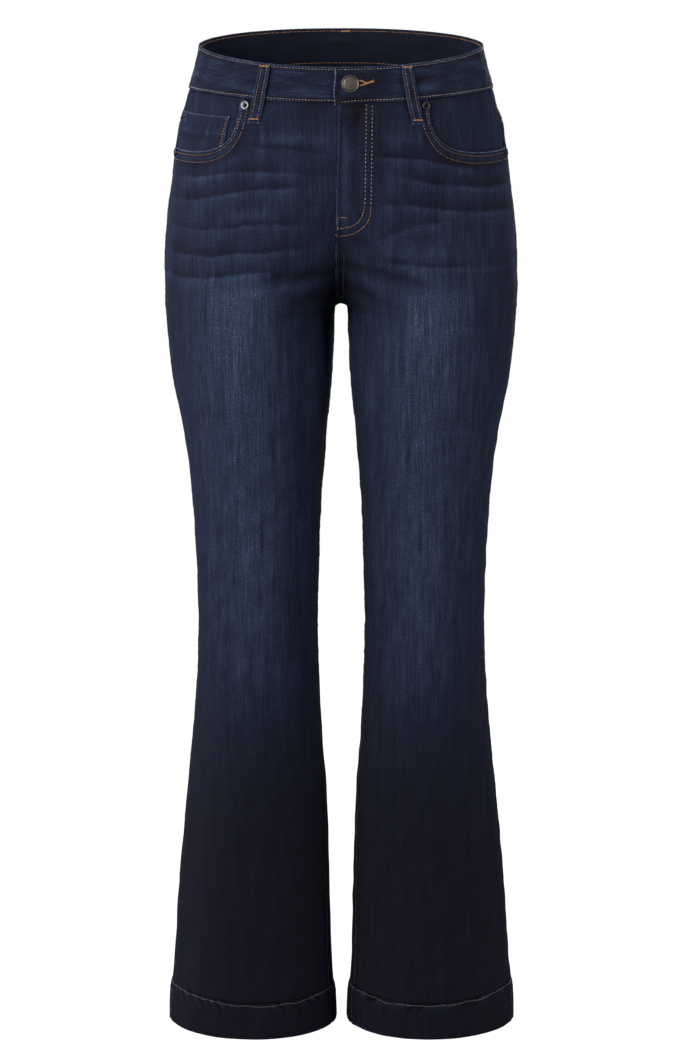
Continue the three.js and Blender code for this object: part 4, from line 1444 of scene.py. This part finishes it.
def thread_material(name, colour, worn):
    material, shader, node, link = new_material(
        name, {"Roughness": 0.6, "Specular IOR Level": 0.3})
    tone = node("ShaderNodeAttribute", attribute_name="tone")
    coord = node("ShaderNodeTexCoord")
    fuzz = node("ShaderNodeTexNoise", Scale=900)
    link(coord.outputs["Object"], fuzz.inputs["Vector"])
    blend = node("ShaderNodeMath", operation='MULTIPLY')
    link(tone.outputs["Fac"], blend.inputs[0])
    link(fuzz.outputs[0], blend.inputs[1])
    mix = node("ShaderNodeMix", data_type='RGBA')
    mix.inputs[6].default_value = linear(colour)
    mix.inputs[7].default_value = linear(worn)
    link(blend.outputs[0], mix.inputs[0])
    link(mix.outputs[2], shader.inputs["Base Color"])
    bump = node("ShaderNodeBump", Distance=0.0001)
    link(fuzz.outputs[0], bump.inputs["Height"])
    link(bump.outputs[0], shader.inputs["Normal"])
    return material


tan_thread = thread_material("tan thread", (170, 148, 128), (92, 72, 70))
gold_thread = thread_material("gold thread", (146, 116, 76), (78, 60, 46))
orange_thread = thread_material("orange thread", (190, 134, 84), (118, 80, 56))
brown_thread = thread_material("brown thread", (78, 58, 54), (40, 32, 36))
grey_thread = thread_material("grey thread", (116, 104, 102), (62, 54, 60))
dark_thread = thread_material("navy thread", (26, 28, 42), (14, 15, 24))


def unit(vectors):
    """The vectors at a length of 1."""
    return vectors / np.maximum(np.linalg.norm(vectors, axis=-1, keepdims=True), 1e-6)


def sew(points, normals, seed, pitch=3.2, length=2.05, radius=0.40, rise=1.0):
    """The stitches along one row: their points, sides, ends and tones."""
    random = np.random.default_rng(seed)
    steps = np.linalg.norm(np.diff(points, axis=0), axis=1)
    along = np.concatenate([[0], np.cumsum(steps)])
    count = max(1, int(along[-1] / pitch))
    middle = (np.arange(count) + 0.5) * along[-1] / count + random.normal(0, 0.08, count)
    ends = np.stack([middle - length / 2, middle + length / 2], 1)

    def at(values, place):
        return np.stack([np.interp(place, along, values[:, n]) for n in range(3)], -1)

    a, b = at(points, ends[:, 0]), at(points, ends[:, 1])
    up = unit(at(normals, middle))
    across = unit(np.cross(unit(b - a), up))
    rings = []
    for share, size, high in ((0, 0.4, -0.3), (0.2, 0.95, 0.55), (0.8, 0.95, 0.55), (1, 0.4, -0.3)):
        centre = a + (b - a) * share + up * high * radius * rise
        for turn in 2 * np.pi * np.arange(STITCH_SIDES) / STITCH_SIDES:
            rings.append(centre + radius * size * (math.cos(turn) * up + math.sin(turn) * across))
    ring = np.arange(len(rings)).reshape(-1, STITCH_SIDES)
    start = np.arange(count)[:, None, None] * len(rings)
    quads = np.stack([ring[:-1], np.roll(ring, -1, 1)[:-1], np.roll(ring, -1, 1)[1:], ring[1:]], -1)
    caps = np.stack([ring[0, ::-1], ring[-1]])
    tones = np.repeat(np.clip(random.normal(0.8, 0.35, count), 0, 2), len(rings))
    return (np.stack(rings, 1).reshape(-1, 3), (quads.reshape(-1, 4) + start).reshape(-1, 4),
            (caps + start).reshape(-1, STITCH_SIDES), tones)


def thread_piece(name, rows, material):
    """The stitches of like rows as one piece. A row is its points, the way out
    of the cloth at each, and its stitches' sizes."""
    points, quads, caps, tones = [], [], [], []
    start = 0
    for n, (line, normals, sizes) in enumerate(rows):
        v, q, c, t = sew(line, normals, seed=n + len(name), **sizes)
        points.append(v)
        quads.append(q + start)
        caps.append(c + start)
        tones.append(t)
        start += len(v)
    points = np.concatenate(points)
    groups = facing_out(points, [np.concatenate(quads), np.concatenate(caps)])
    return mesh_piece(name, points, groups, [material], tone=np.concatenate(tones))


def on_form(side, angle, z, lift, **sizes):
    """A row of stitches through places lifted off the form."""
    base = form_point(side, angle, z)
    normal = form_normal(base)
    return base + normal * np.asarray(lift)[..., None], normal, sizes


def on_cloth(cloth, side, angle, z, **sizes):
    """A row of stitches on a panel whose lift is worked out by the given function."""
    return on_form(side, angle, z, cloth(side, angle, z)[0], **sizes)


def beside(line, distance, inward):
    """A line moved over the form by a distance, towards the point inward."""
    over = unit(np.cross(form_normal(line), np.gradient(line, axis=0)))
    if ((inward - line[len(line) // 2]) * over[len(line) // 2]).sum() < 0:
        over = -over
    return line + over * distance


def band_row(turn, below, **sizes):
    side, angle, z = band_place(turn, below / band_height(turn))
    return on_form(side, angle, z, BAND_OUT + lap_shift(turn) + band_shape(turn, below)[0], **sizes)


def inside_band_row(turn, below, **sizes):
    side, angle, z = band_place(turn, below / band_height(turn))
    lift = BAND_IN + lap_shift(turn) + 0.8 * band_ripple(turn, below) + 0.25
    points, normals, sizes = on_form(side, angle, z, lift, **sizes)
    return points, -normals, sizes


# Waistband: one row along each long edge, outside and in.
round_turn = np.concatenate([
    lap_turn(np.linspace(3.4 - TAB_EDGE, 15, 60)),
    np.linspace(lap_turn(15), 360 + lap_turn(-15), 840)[1:-1],
    360 + lap_turn(np.linspace(-15, -TAB_EDGE - 0.6, 20)),
])
thread_piece("waist_topstitching", [
    band_row(round_turn, 2.8, pitch=3.4, length=2.1, radius=0.36),
    band_row(round_turn, band_height(round_turn) - 2.2, pitch=3.4, length=2.2),
], tan_thread)
full_turn = np.linspace(8, 352, 900)
thread_piece("inside_waist_stitching", [
    inside_band_row(full_turn, 3.0),
    inside_band_row(full_turn, band_height(full_turn) - 2.6),
], orange_thread)

# Dark thread down the tab's end and the fly's fold.
tab_below = np.linspace(1.6, float(band_height(band_start)) - 1, 60)
tab_x = TAB_ROUND - TAB_EDGE + 0.5 * np.sin(2 * np.pi * (tab_below / 36 + 0.1))
fly_z = np.linspace(-57, -272, 300)
dark = {"pitch": 2.5, "length": 1.6, "radius": 0.6}
thread_piece("fly_edge_stitching", [
    band_row(lap_turn(tab_x), tab_below, **dark),
    on_cloth(front_cloth, LEFT, centre_angle(3.0 - fly_at(fly_z), fly_z), fly_z, **dark),
], dark_thread)

# Pockets: two rows along each scooped edge, gold towards its lower end.
POCKET_GOLD = -84              # below this height the thread is gold
tan_rows, gold_rows = [], []
for side, _ in SIDES:
    below_pocket = form_point(side, 80.0, -150.0)
    line = POCKET_LINE[side]
    for distance in POCKET_ROWS:
        _, angle, z = locate(beside(line, distance * row_spread(line[:, 2:]), below_pocket))
        keep = (z < band_bottom(angle) - 1.5) & (angle > side_seam_at(z) + 0.6)
        low = keep & (z < POCKET_GOLD)
        high = keep & ~low
        gold_rows.append(on_cloth(front_cloth, side, angle[low], z[low],
                                  pitch=3.0, length=2.1, radius=0.32))
        tan_rows.append(on_cloth(front_cloth, side, angle[high], z[high],
                                 pitch=3.0, length=2.0, radius=0.36))
thread_piece("pocket_topstitching_low", gold_rows, gold_thread)


def fly_row(x, z, **sizes):
    return on_cloth(front_cloth, LEFT, centre_angle(x, z), z, **sizes)


# Fly: the two curved rows, gold where they curve in, with bars that lock them
# to the fold, and the seam below them.
FLY_GOLD = -160                # below this height the thread is gold
curve_rows = []
for row in FLY_ROWS:
    angle, z = fly_path(row, 200)
    low = z < FLY_GOLD
    tan_rows.append(on_cloth(front_cloth, LEFT, angle[~low], z[~low], pitch=4.2, length=2.4))
    curve_rows.append(on_cloth(front_cloth, LEFT, angle[low], z[low],
                               pitch=3.2, length=2.9, radius=0.42))
curve_rows.append(fly_row(np.linspace(-3.4, 6.3, 20), np.full(20, -173.0),
                          pitch=2.3, length=2.4, radius=0.42))
curve_rows.append(fly_row(np.full(20, -3.2), np.linspace(-173.5, -185, 20), pitch=2.6, length=1.8))
for x, z in ((-3.2, -184.5), (-4.9, -193.0)):
    for high in (z - 0.5, z + 0.1, z + 0.7):
        curve_rows.append(fly_row(x + np.array([-0.9, 0.0, 0.9]), np.full(3, high),
                                  pitch=ONE_STITCH, length=1.7))
seam_z = np.linspace(-214, -276, 90)
seam_row = fly_row(3.4 + (seam_z + 214) * 0.02, seam_z, pitch=2.6, length=1.7)
thread_piece("fly_topstitching", tan_rows, tan_thread)
thread_piece("fly_curve_stitching", curve_rows, gold_thread)
thread_piece("crotch_seam_stitching", [seam_row], brown_thread)


def coin_row(angle, z):
    return on_form(RIGHT, angle, z, coin_cloth(angle, z)[0])


# Coin pocket: two rows down its inner edge and one under its top.
coin_z = np.linspace(COIN["top"] - 1.5, -118, 90)
first, second = (coin_row(coin_inner(coin_z) - distance / girth_at(RIGHT, 45.0, coin_z), coin_z)
                 for distance in (3.2, 7.4))
across_top = np.linspace(float(side_seam_at(-74)) + 1, COIN["inner_top"] - 1, 90)
thread_piece("coin_pocket_stitching", [first], orange_thread)
thread_piece("coin_pocket_dark_stitching", [second, coin_row(across_top, np.full(90, -73.6))],
             dark_thread)

# Legs: one row beside each inside seam, one round each hem and one beside
# each seam in it.
leg_rows, hem_rows = [], []
for side, _ in SIDES:
    z = np.linspace(CROTCH - 6, HEM_TOP + 2, 900)
    angle = inseam_at(z) - 2.4 / girth_at(side, inseam_at(z), z)
    leg_rows.append(on_cloth(front_cloth, side, angle, z, radius=0.22, rise=0.4))
    around = np.linspace(-180, 180, 700)
    wander = 0.7 * waves(97 + side, around * HEM_DEGREE, 0, 40, 1)
    hem_rows.append(on_cloth(hem_cloth, side, around, near_hem(around, HEM_TOP) - HEM_ROW + wander,
                             pitch=3.4, length=2.8, radius=0.36))
    z = np.linspace(HEM_TOP - 4, HEM_BOTTOM + 3, 60)
    for seam, shift in ((side_seam_at(z), 1.6), (inseam_at(z), -2.4)):
        angle = seam + shift / girth_at(side, seam, z)
        hem_rows.append(on_cloth(hem_cloth, side, angle, z, radius=0.26))
thread_piece("inside_leg_stitching", leg_rows, gold_thread)
thread_piece("hem_stitching", hem_rows, grey_thread)


def pocket_row(side, across, down):
    angle, z = back_pocket_place(across, down)
    return on_form(side, angle, z, back_pocket_cloth(side, across, down, angle, z)[0])


# Back: two rows along the yoke seams, down the centre and round the pockets,
# and one along the pockets' hems.
POCKET_CORNERS = [(0, -0.01), (0, 1), (0.5, 1), (1, 1), (1, -0.01)]
steps = np.linspace(0, 1, 50)[:, None]
round_pocket = np.concatenate([np.array(a) + np.subtract(b, a) * steps
                               for a, b in zip(POCKET_CORNERS, POCKET_CORNERS[1:])])
back_rows = []
for side, _ in SIDES:
    share = np.linspace(0.07, 0.98, 300)
    for above in BACK_ROWS:
        z = yoke_seam(share) + above
        back_rows.append(on_cloth(back_cloth, side, back_angle(share, z), z))
    for inset in BACK_ROWS:
        across = 0.5 + (round_pocket[:, 0] - 0.5) * (1 - 2 * inset / POCKET_WIDE)
        down = np.clip(round_pocket[:, 1] * (1 - inset / POCKET_TALL), 0.012, 1)
        back_rows.append(pocket_row(side, across, down))
    back_rows.append(pocket_row(side, np.linspace(0.02, 0.98, 90),
                                np.full(90, (POCKET_HEM - 2) / POCKET_TALL)))
z = np.linspace(-30, CROTCH + 6, 300)
for distance in BACK_ROWS:
    back_rows.append(on_cloth(back_cloth, LEFT, -angle_at(distance, z), z))
thread_piece("back_topstitching", back_rows, gold_thread)


def loop_row(side, angle, across, down, **sizes):
    """A row of stitches on a belt loop."""
    spread, z = loop_place(side, angle, across, down)
    return on_form(side, spread, z, loop_cloth(angle, across, down)[0], **sizes)


# Belt loops: two rows down each.
inset = LOOP["width"] / 2 - 2.9
thread_piece("loop_stitching", [
    loop_row(side, angle, np.full(120, across), np.linspace(0.04, 0.95, 120),
             pitch=2.8, length=2.0, radius=0.3)
    for _, side, angle in LOOPS for across in (-inset, inset)
], tan_thread)

# ---- bartacks and the buttonhole ---------------------------------------------
# Close stitches that lock the ends of the belt loops and the corners of the
# back pockets, and the buttonhole, worked over the edges of its cut.

TACK_STEP = 0.55               # from one stitch of a bartack to the next
ACROSS = np.array([-0.5, 0.0, 0.5])    # a single stitch from end to end, as shares of it


def bartack(side, angle, z, lift_of, length, width, slant=0.0, upright=False):
    """Close stitches of the given width, side by side along the given length."""
    rows = []
    degree = float(girth_at(side, angle, z))
    for along in (np.linspace(0, 1, int(length / TACK_STEP)) - 0.5) * length:
        if upright:
            place = angle + ACROSS * width / degree, np.full(3, z - along)
        else:
            place = angle + (along + ACROSS * slant * width) / degree, z + ACROSS * width
        rows.append(on_form(side, *place, lift_of(*place),
                            pitch=ONE_STITCH, length=width, radius=0.3, rise=1.2))
    return rows


tacks = []
for _, side, angle in LOOPS:
    top, degree = loop_top(side, angle)

    def loop_lift_at(a, h):
        return loop_cloth(angle, (a - angle) * degree, (top - h) / LOOP["drop"])[0]

    for down in (0.035, 0.93):
        spread, z = loop_place(side, angle, 0.0, down)
        tacks += bartack(side, float(spread), float(z), loop_lift_at, 9.6, 1.8, slant=0.3)
# The centre back loop's upper tack goes through to the inside of the waistband.
for x in np.linspace(0.4, 10.4, 20):
    tacks.append(inside_band_row(np.full(3, 180 - float(lap_turn(x))), np.array([2.2, 3.2, 4.2]),
                                 pitch=ONE_STITCH, length=1.9, radius=0.34, rise=1.2))
thread_piece("bartacks", tacks, orange_thread)

back_tacks = []
for side, _ in SIDES:
    def pocket_lift_at(a, h):
        across = (a - BACK_POCKET["outer_top"]) / (BACK_POCKET["inner_top"] - BACK_POCKET["outer_top"])
        down = (BACK_POCKET["top"] - h) / POCKET_TALL
        return back_pocket_cloth(side, np.clip(across, 0, 1), np.clip(down, 0, 1), a, h)[0]

    for across in (0.03, 0.97):
        angle, z = back_pocket_place(across, 0.03)
        back_tacks += bartack(side, float(angle), float(z) - 4, pocket_lift_at, 8.0, 1.8, upright=True)
thread_piece("back_bartacks", back_tacks, gold_thread)

# The buttonhole: close stitches along both edges of the cut, which the
# button's shank spreads into a narrow V, then where the edges meet, and a bar
# across the far end.
HOLE_LINES = [
    # points (x, z) along each worked edge, and the length of its stitches
    ([(19.2, -30.3), (22.5, -31.2), (26.6, -33.0)], 1.6),
    ([(19.4, -35.6), (22.5, -34.9), (26.6, -33.9)], 1.6),
    ([(26.0, -33.5), (30.0, -32.4), (33.6, -31.2)], 2.0),
]
HOLE_STEP = 0.45               # from one of its stitches to the next
HOLE_END = 34.0                # the bar's distance from the middle


def hole_stitch(x, z, length, radius):
    """One stitch on the waistband's face, through three places."""
    a = angle_at(x, z)
    angle = a * 90 / angle_at(0, z)
    lift = BAND_OUT + band_shape(90 - angle, waist_top(angle) - z)[0]
    return on_form(LEFT, a, z, lift, pitch=ONE_STITCH, length=length, radius=radius)


hole_rows = []
for corners, long in HOLE_LINES:
    count = int(np.linalg.norm(np.subtract(corners[-1], corners[0])) / HOLE_STEP)
    path = smooth_path(corners, count)
    for (x, z), (run_x, run_z) in zip(path, unit(np.gradient(path, axis=0))):
        hole_rows.append(hole_stitch(x - run_z * long * ACROSS, z + run_x * long * ACROSS, long, 0.32))
for z in np.linspace(-32.4, -30.0, 5):
    hole_rows.append(hole_stitch(HOLE_END + 1.4 * ACROSS, np.full(3, z), 1.4, 0.28))
thread_piece("buttonhole", hole_rows, orange_thread)

# ---- button, rivets and zip --------------------------------------------------
# A flat antique brass tack button, five small rivets at the pocket corners
# and a brass zip on cotton tape, closed behind the fly.


def metal_material(name, colour, tarnish, roughness):
    material, shader, node, link = new_material(name, {"Metallic": 1.0})
    coord = node("ShaderNodeTexCoord")
    spots = node("ShaderNodeTexNoise", Scale=420, Detail=5)
    link(coord.outputs["Object"], spots.inputs["Vector"])
    mix = node("ShaderNodeMix", data_type='RGBA')
    mix.inputs[6].default_value = linear(colour)
    mix.inputs[7].default_value = linear(tarnish)
    link(spots.outputs[0], mix.inputs[0])
    link(mix.outputs[2], shader.inputs["Base Color"])
    rough = node("ShaderNodeMapRange")
    rough.inputs["To Min"].default_value = roughness - 0.08
    rough.inputs["To Max"].default_value = roughness + 0.12
    link(spots.outputs[0], rough.inputs["Value"])
    link(rough.outputs[0], shader.inputs["Roughness"])
    bump = node("ShaderNodeBump", Strength=0.25, Distance=0.0001)
    link(spots.outputs[0], bump.inputs["Height"])
    link(bump.outputs[0], shader.inputs["Normal"])
    return material


antique = metal_material("antique brass", (114, 108, 100), (78, 74, 68), 0.5)
# A lighter copy of the gunmetal rivet metal, painted as if lit, for the inner right rivet.
lit_rivet_metal = metal_material("rivet metal painted lit", (150, 150, 148), (84, 84, 86), 0.38)
gunmetal = metal_material("gunmetal", (70, 68, 66), (36, 34, 34), 0.36)
dark_metal = metal_material("dark rivet centre", (40, 38, 38), (16, 16, 18), 0.5)


BLOCK = np.array([[0, 1, 3, 2], [4, 6, 7, 5], [0, 4, 5, 1], [2, 3, 7, 6], [0, 2, 6, 4], [1, 5, 7, 3]])


def block_faces(count, start=0):
    """The faces of small blocks of eight corners each, numbered from start."""
    return (start + 8 * np.arange(count)[:, None, None] + BLOCK).reshape(-1, 4)


def turned_piece(name, profile, place, lift, segments, material, ticks=None):
    """A turned metal piece whose axis leaves the form at place = (side, angle, z)."""
    base = form_point(*place)
    out = form_normal(base)
    side_way = unit(np.cross(out, [0, 0, 1.0]))
    up_way = np.cross(side_way, out)

    def way(turn):
        return np.cos(turn) * side_way + np.sin(turn) * up_way

    turns = np.linspace(0, 2 * np.pi, segments, endpoint=False)[:, None]
    points = np.concatenate([base + out * (lift + height) + radius * way(turns)
                             for radius, height in profile])
    index = np.arange(len(points)).reshape(len(profile), segments)
    closed = np.concatenate([index, index[:, :1]], axis=1)
    groups = facing_out(points, [grid_faces(closed).reshape(-1, 4), index[:1, ::-1], index[-1:]])
    if ticks:
        bars = [base + out * (lift + h) + way(turn) * r + way(turn + np.pi / 2) * a * ticks["width"]
                for turn in np.radians(ticks["degrees"]) for r in (ticks["inner"], ticks["outer"])
                for a in (-0.5, 0.5) for h in (ticks["low"], ticks["high"])]
        faces = block_faces(len(ticks["degrees"]), len(points))
        points = np.concatenate([points, bars])
        groups += facing_out(points, [faces])
    patch = np.concatenate([np.full(len(g), int(n > 2), np.int32) for n, g in enumerate(groups)])
    return mesh_piece(name, points, groups, [material, dark_metal], patch=patch)


BUTTON_PLACE = (LEFT, float(angle_at(9.7, -33.5)), -33.5)
BUTTON_UNDER = BAND_OUT + SEAM_GAP + 0.35
# Plain ticks round the upper and lower rim, unevenly spaced.
tick_random = np.random.default_rng(5)
tick_degrees = np.concatenate([np.arange(32, 150, 7.2), np.arange(214, 330, 7.2)])
tick_degrees = tick_degrees + tick_random.uniform(-1.4, 1.4, len(tick_degrees))
TICKS = {"degrees": tick_degrees, "inner": 7.0, "outer": 8.3, "width": 0.46, "low": 1.6, "high": 1.84}
BUTTON_PROFILE = [
    # radius, height, from the shank out over the rim to the middle of the face
    (1.0, -1.2), (3.1, -1.2), (3.1, 0), (8.0, 0), (8.8, 0.25), (9.2, 0.7), (9.3, 1.15), (9.2, 1.6),
    (9.0, 1.85), (8.75, 1.92), (8.55, 1.85), (8.4, 1.74), (6.7, 1.74), (6.45, 1.9), (6.0, 2.0),
    (0.5, 2.06),
]
button = turned_piece("tack_button", BUTTON_PROFILE, BUTTON_PLACE, BUTTON_UNDER, 96, antique, TICKS)
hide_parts("button")

RIVETS = [
    # name, side, angle, height, lift, metal
    # The inner right rivet takes the lighter copy of the metal, painted as if lit.
    ("inner_right", RIGHT, 53.5, -57.6, 0.9, lit_rivet_metal),
    ("inner_left", LEFT, 58.3, -57.8, 0.9, gunmetal),
    ("outer_right", RIGHT, 10.2, -113.6, 0.9, gunmetal),
    ("outer_left", LEFT, 10.8, -113.6, 0.9, gunmetal),
    ("coin", RIGHT, 11.4, -78.8, COIN_OUT + 0.6, gunmetal),
]
RING_PROFILE = [(2.3, 0.0), (4.3, 0.0), (4.6, 0.3), (4.55, 0.8), (4.2, 1.15), (3.5, 1.3), (2.9, 1.1),
                (2.5, 0.6)]
NUB_PROFILE = [(0.3, -0.1), (2.6, -0.1), (2.6, 0.55), (1.7, 0.6), (1.5, 1.2), (1.1, 1.6), (0.3, 1.75)]
for name, side, angle, z, lift, metal in RIVETS:
    ring = turned_piece(f"rivet_ring_{name}", RING_PROFILE, (side, angle, z), lift, 48, metal)
    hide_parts(f"rivet_{name}")
    nub = turned_piece(f"rivet_centre_{name}", NUB_PROFILE, (side, angle, z), lift, 32, dark_metal)

ZIP = {"top": -60, "bottom": -188, "centre": 2.0, "half": 13.0, "out": -2.4}
across, z = np.meshgrid(np.linspace(1, -1, 21), np.linspace(ZIP["top"], ZIP["bottom"], 41))
tape_angle = centre_angle(ZIP["centre"] + ZIP["half"] * across, z)
tape = cloth_wall("zip_tape", "zip", LEFT, tape_angle, z, ZIP["out"] - 0.3, 0.7, 0.12,
                  under=denim)
TOOTH_PITCH = 1.6
TOOTH_HALF = (1.9, 0.55, 0.6)  # half of a tooth's width, height and depth
tooth_corners = []
teeth_z = np.arange(ZIP["top"] - 3, ZIP["bottom"] + 3, -TOOTH_PITCH)
for k, height in enumerate(teeth_z):
    x = ZIP["centre"] + (0.9 if k % 2 else -0.9)
    centre = form_point(LEFT, float(centre_angle(x, height)), height)
    out = form_normal(centre)
    centre = centre + out * (ZIP["out"] - 1.5)
    ways = np.array([np.cross(out, [0, 0, 1.0]), [0, 0, 1.0], out]) * np.array(TOOTH_HALF)[:, None]
    tooth_corners += [centre + (a, h, d) @ ways for a in (-1, 1) for h in (-1, 1) for d in (-1, 1)]
tooth_corners = np.array(tooth_corners)
teeth = mesh_piece("zip_teeth", tooth_corners,
                   facing_out(tooth_corners, [block_faces(len(teeth_z))]), [antique])
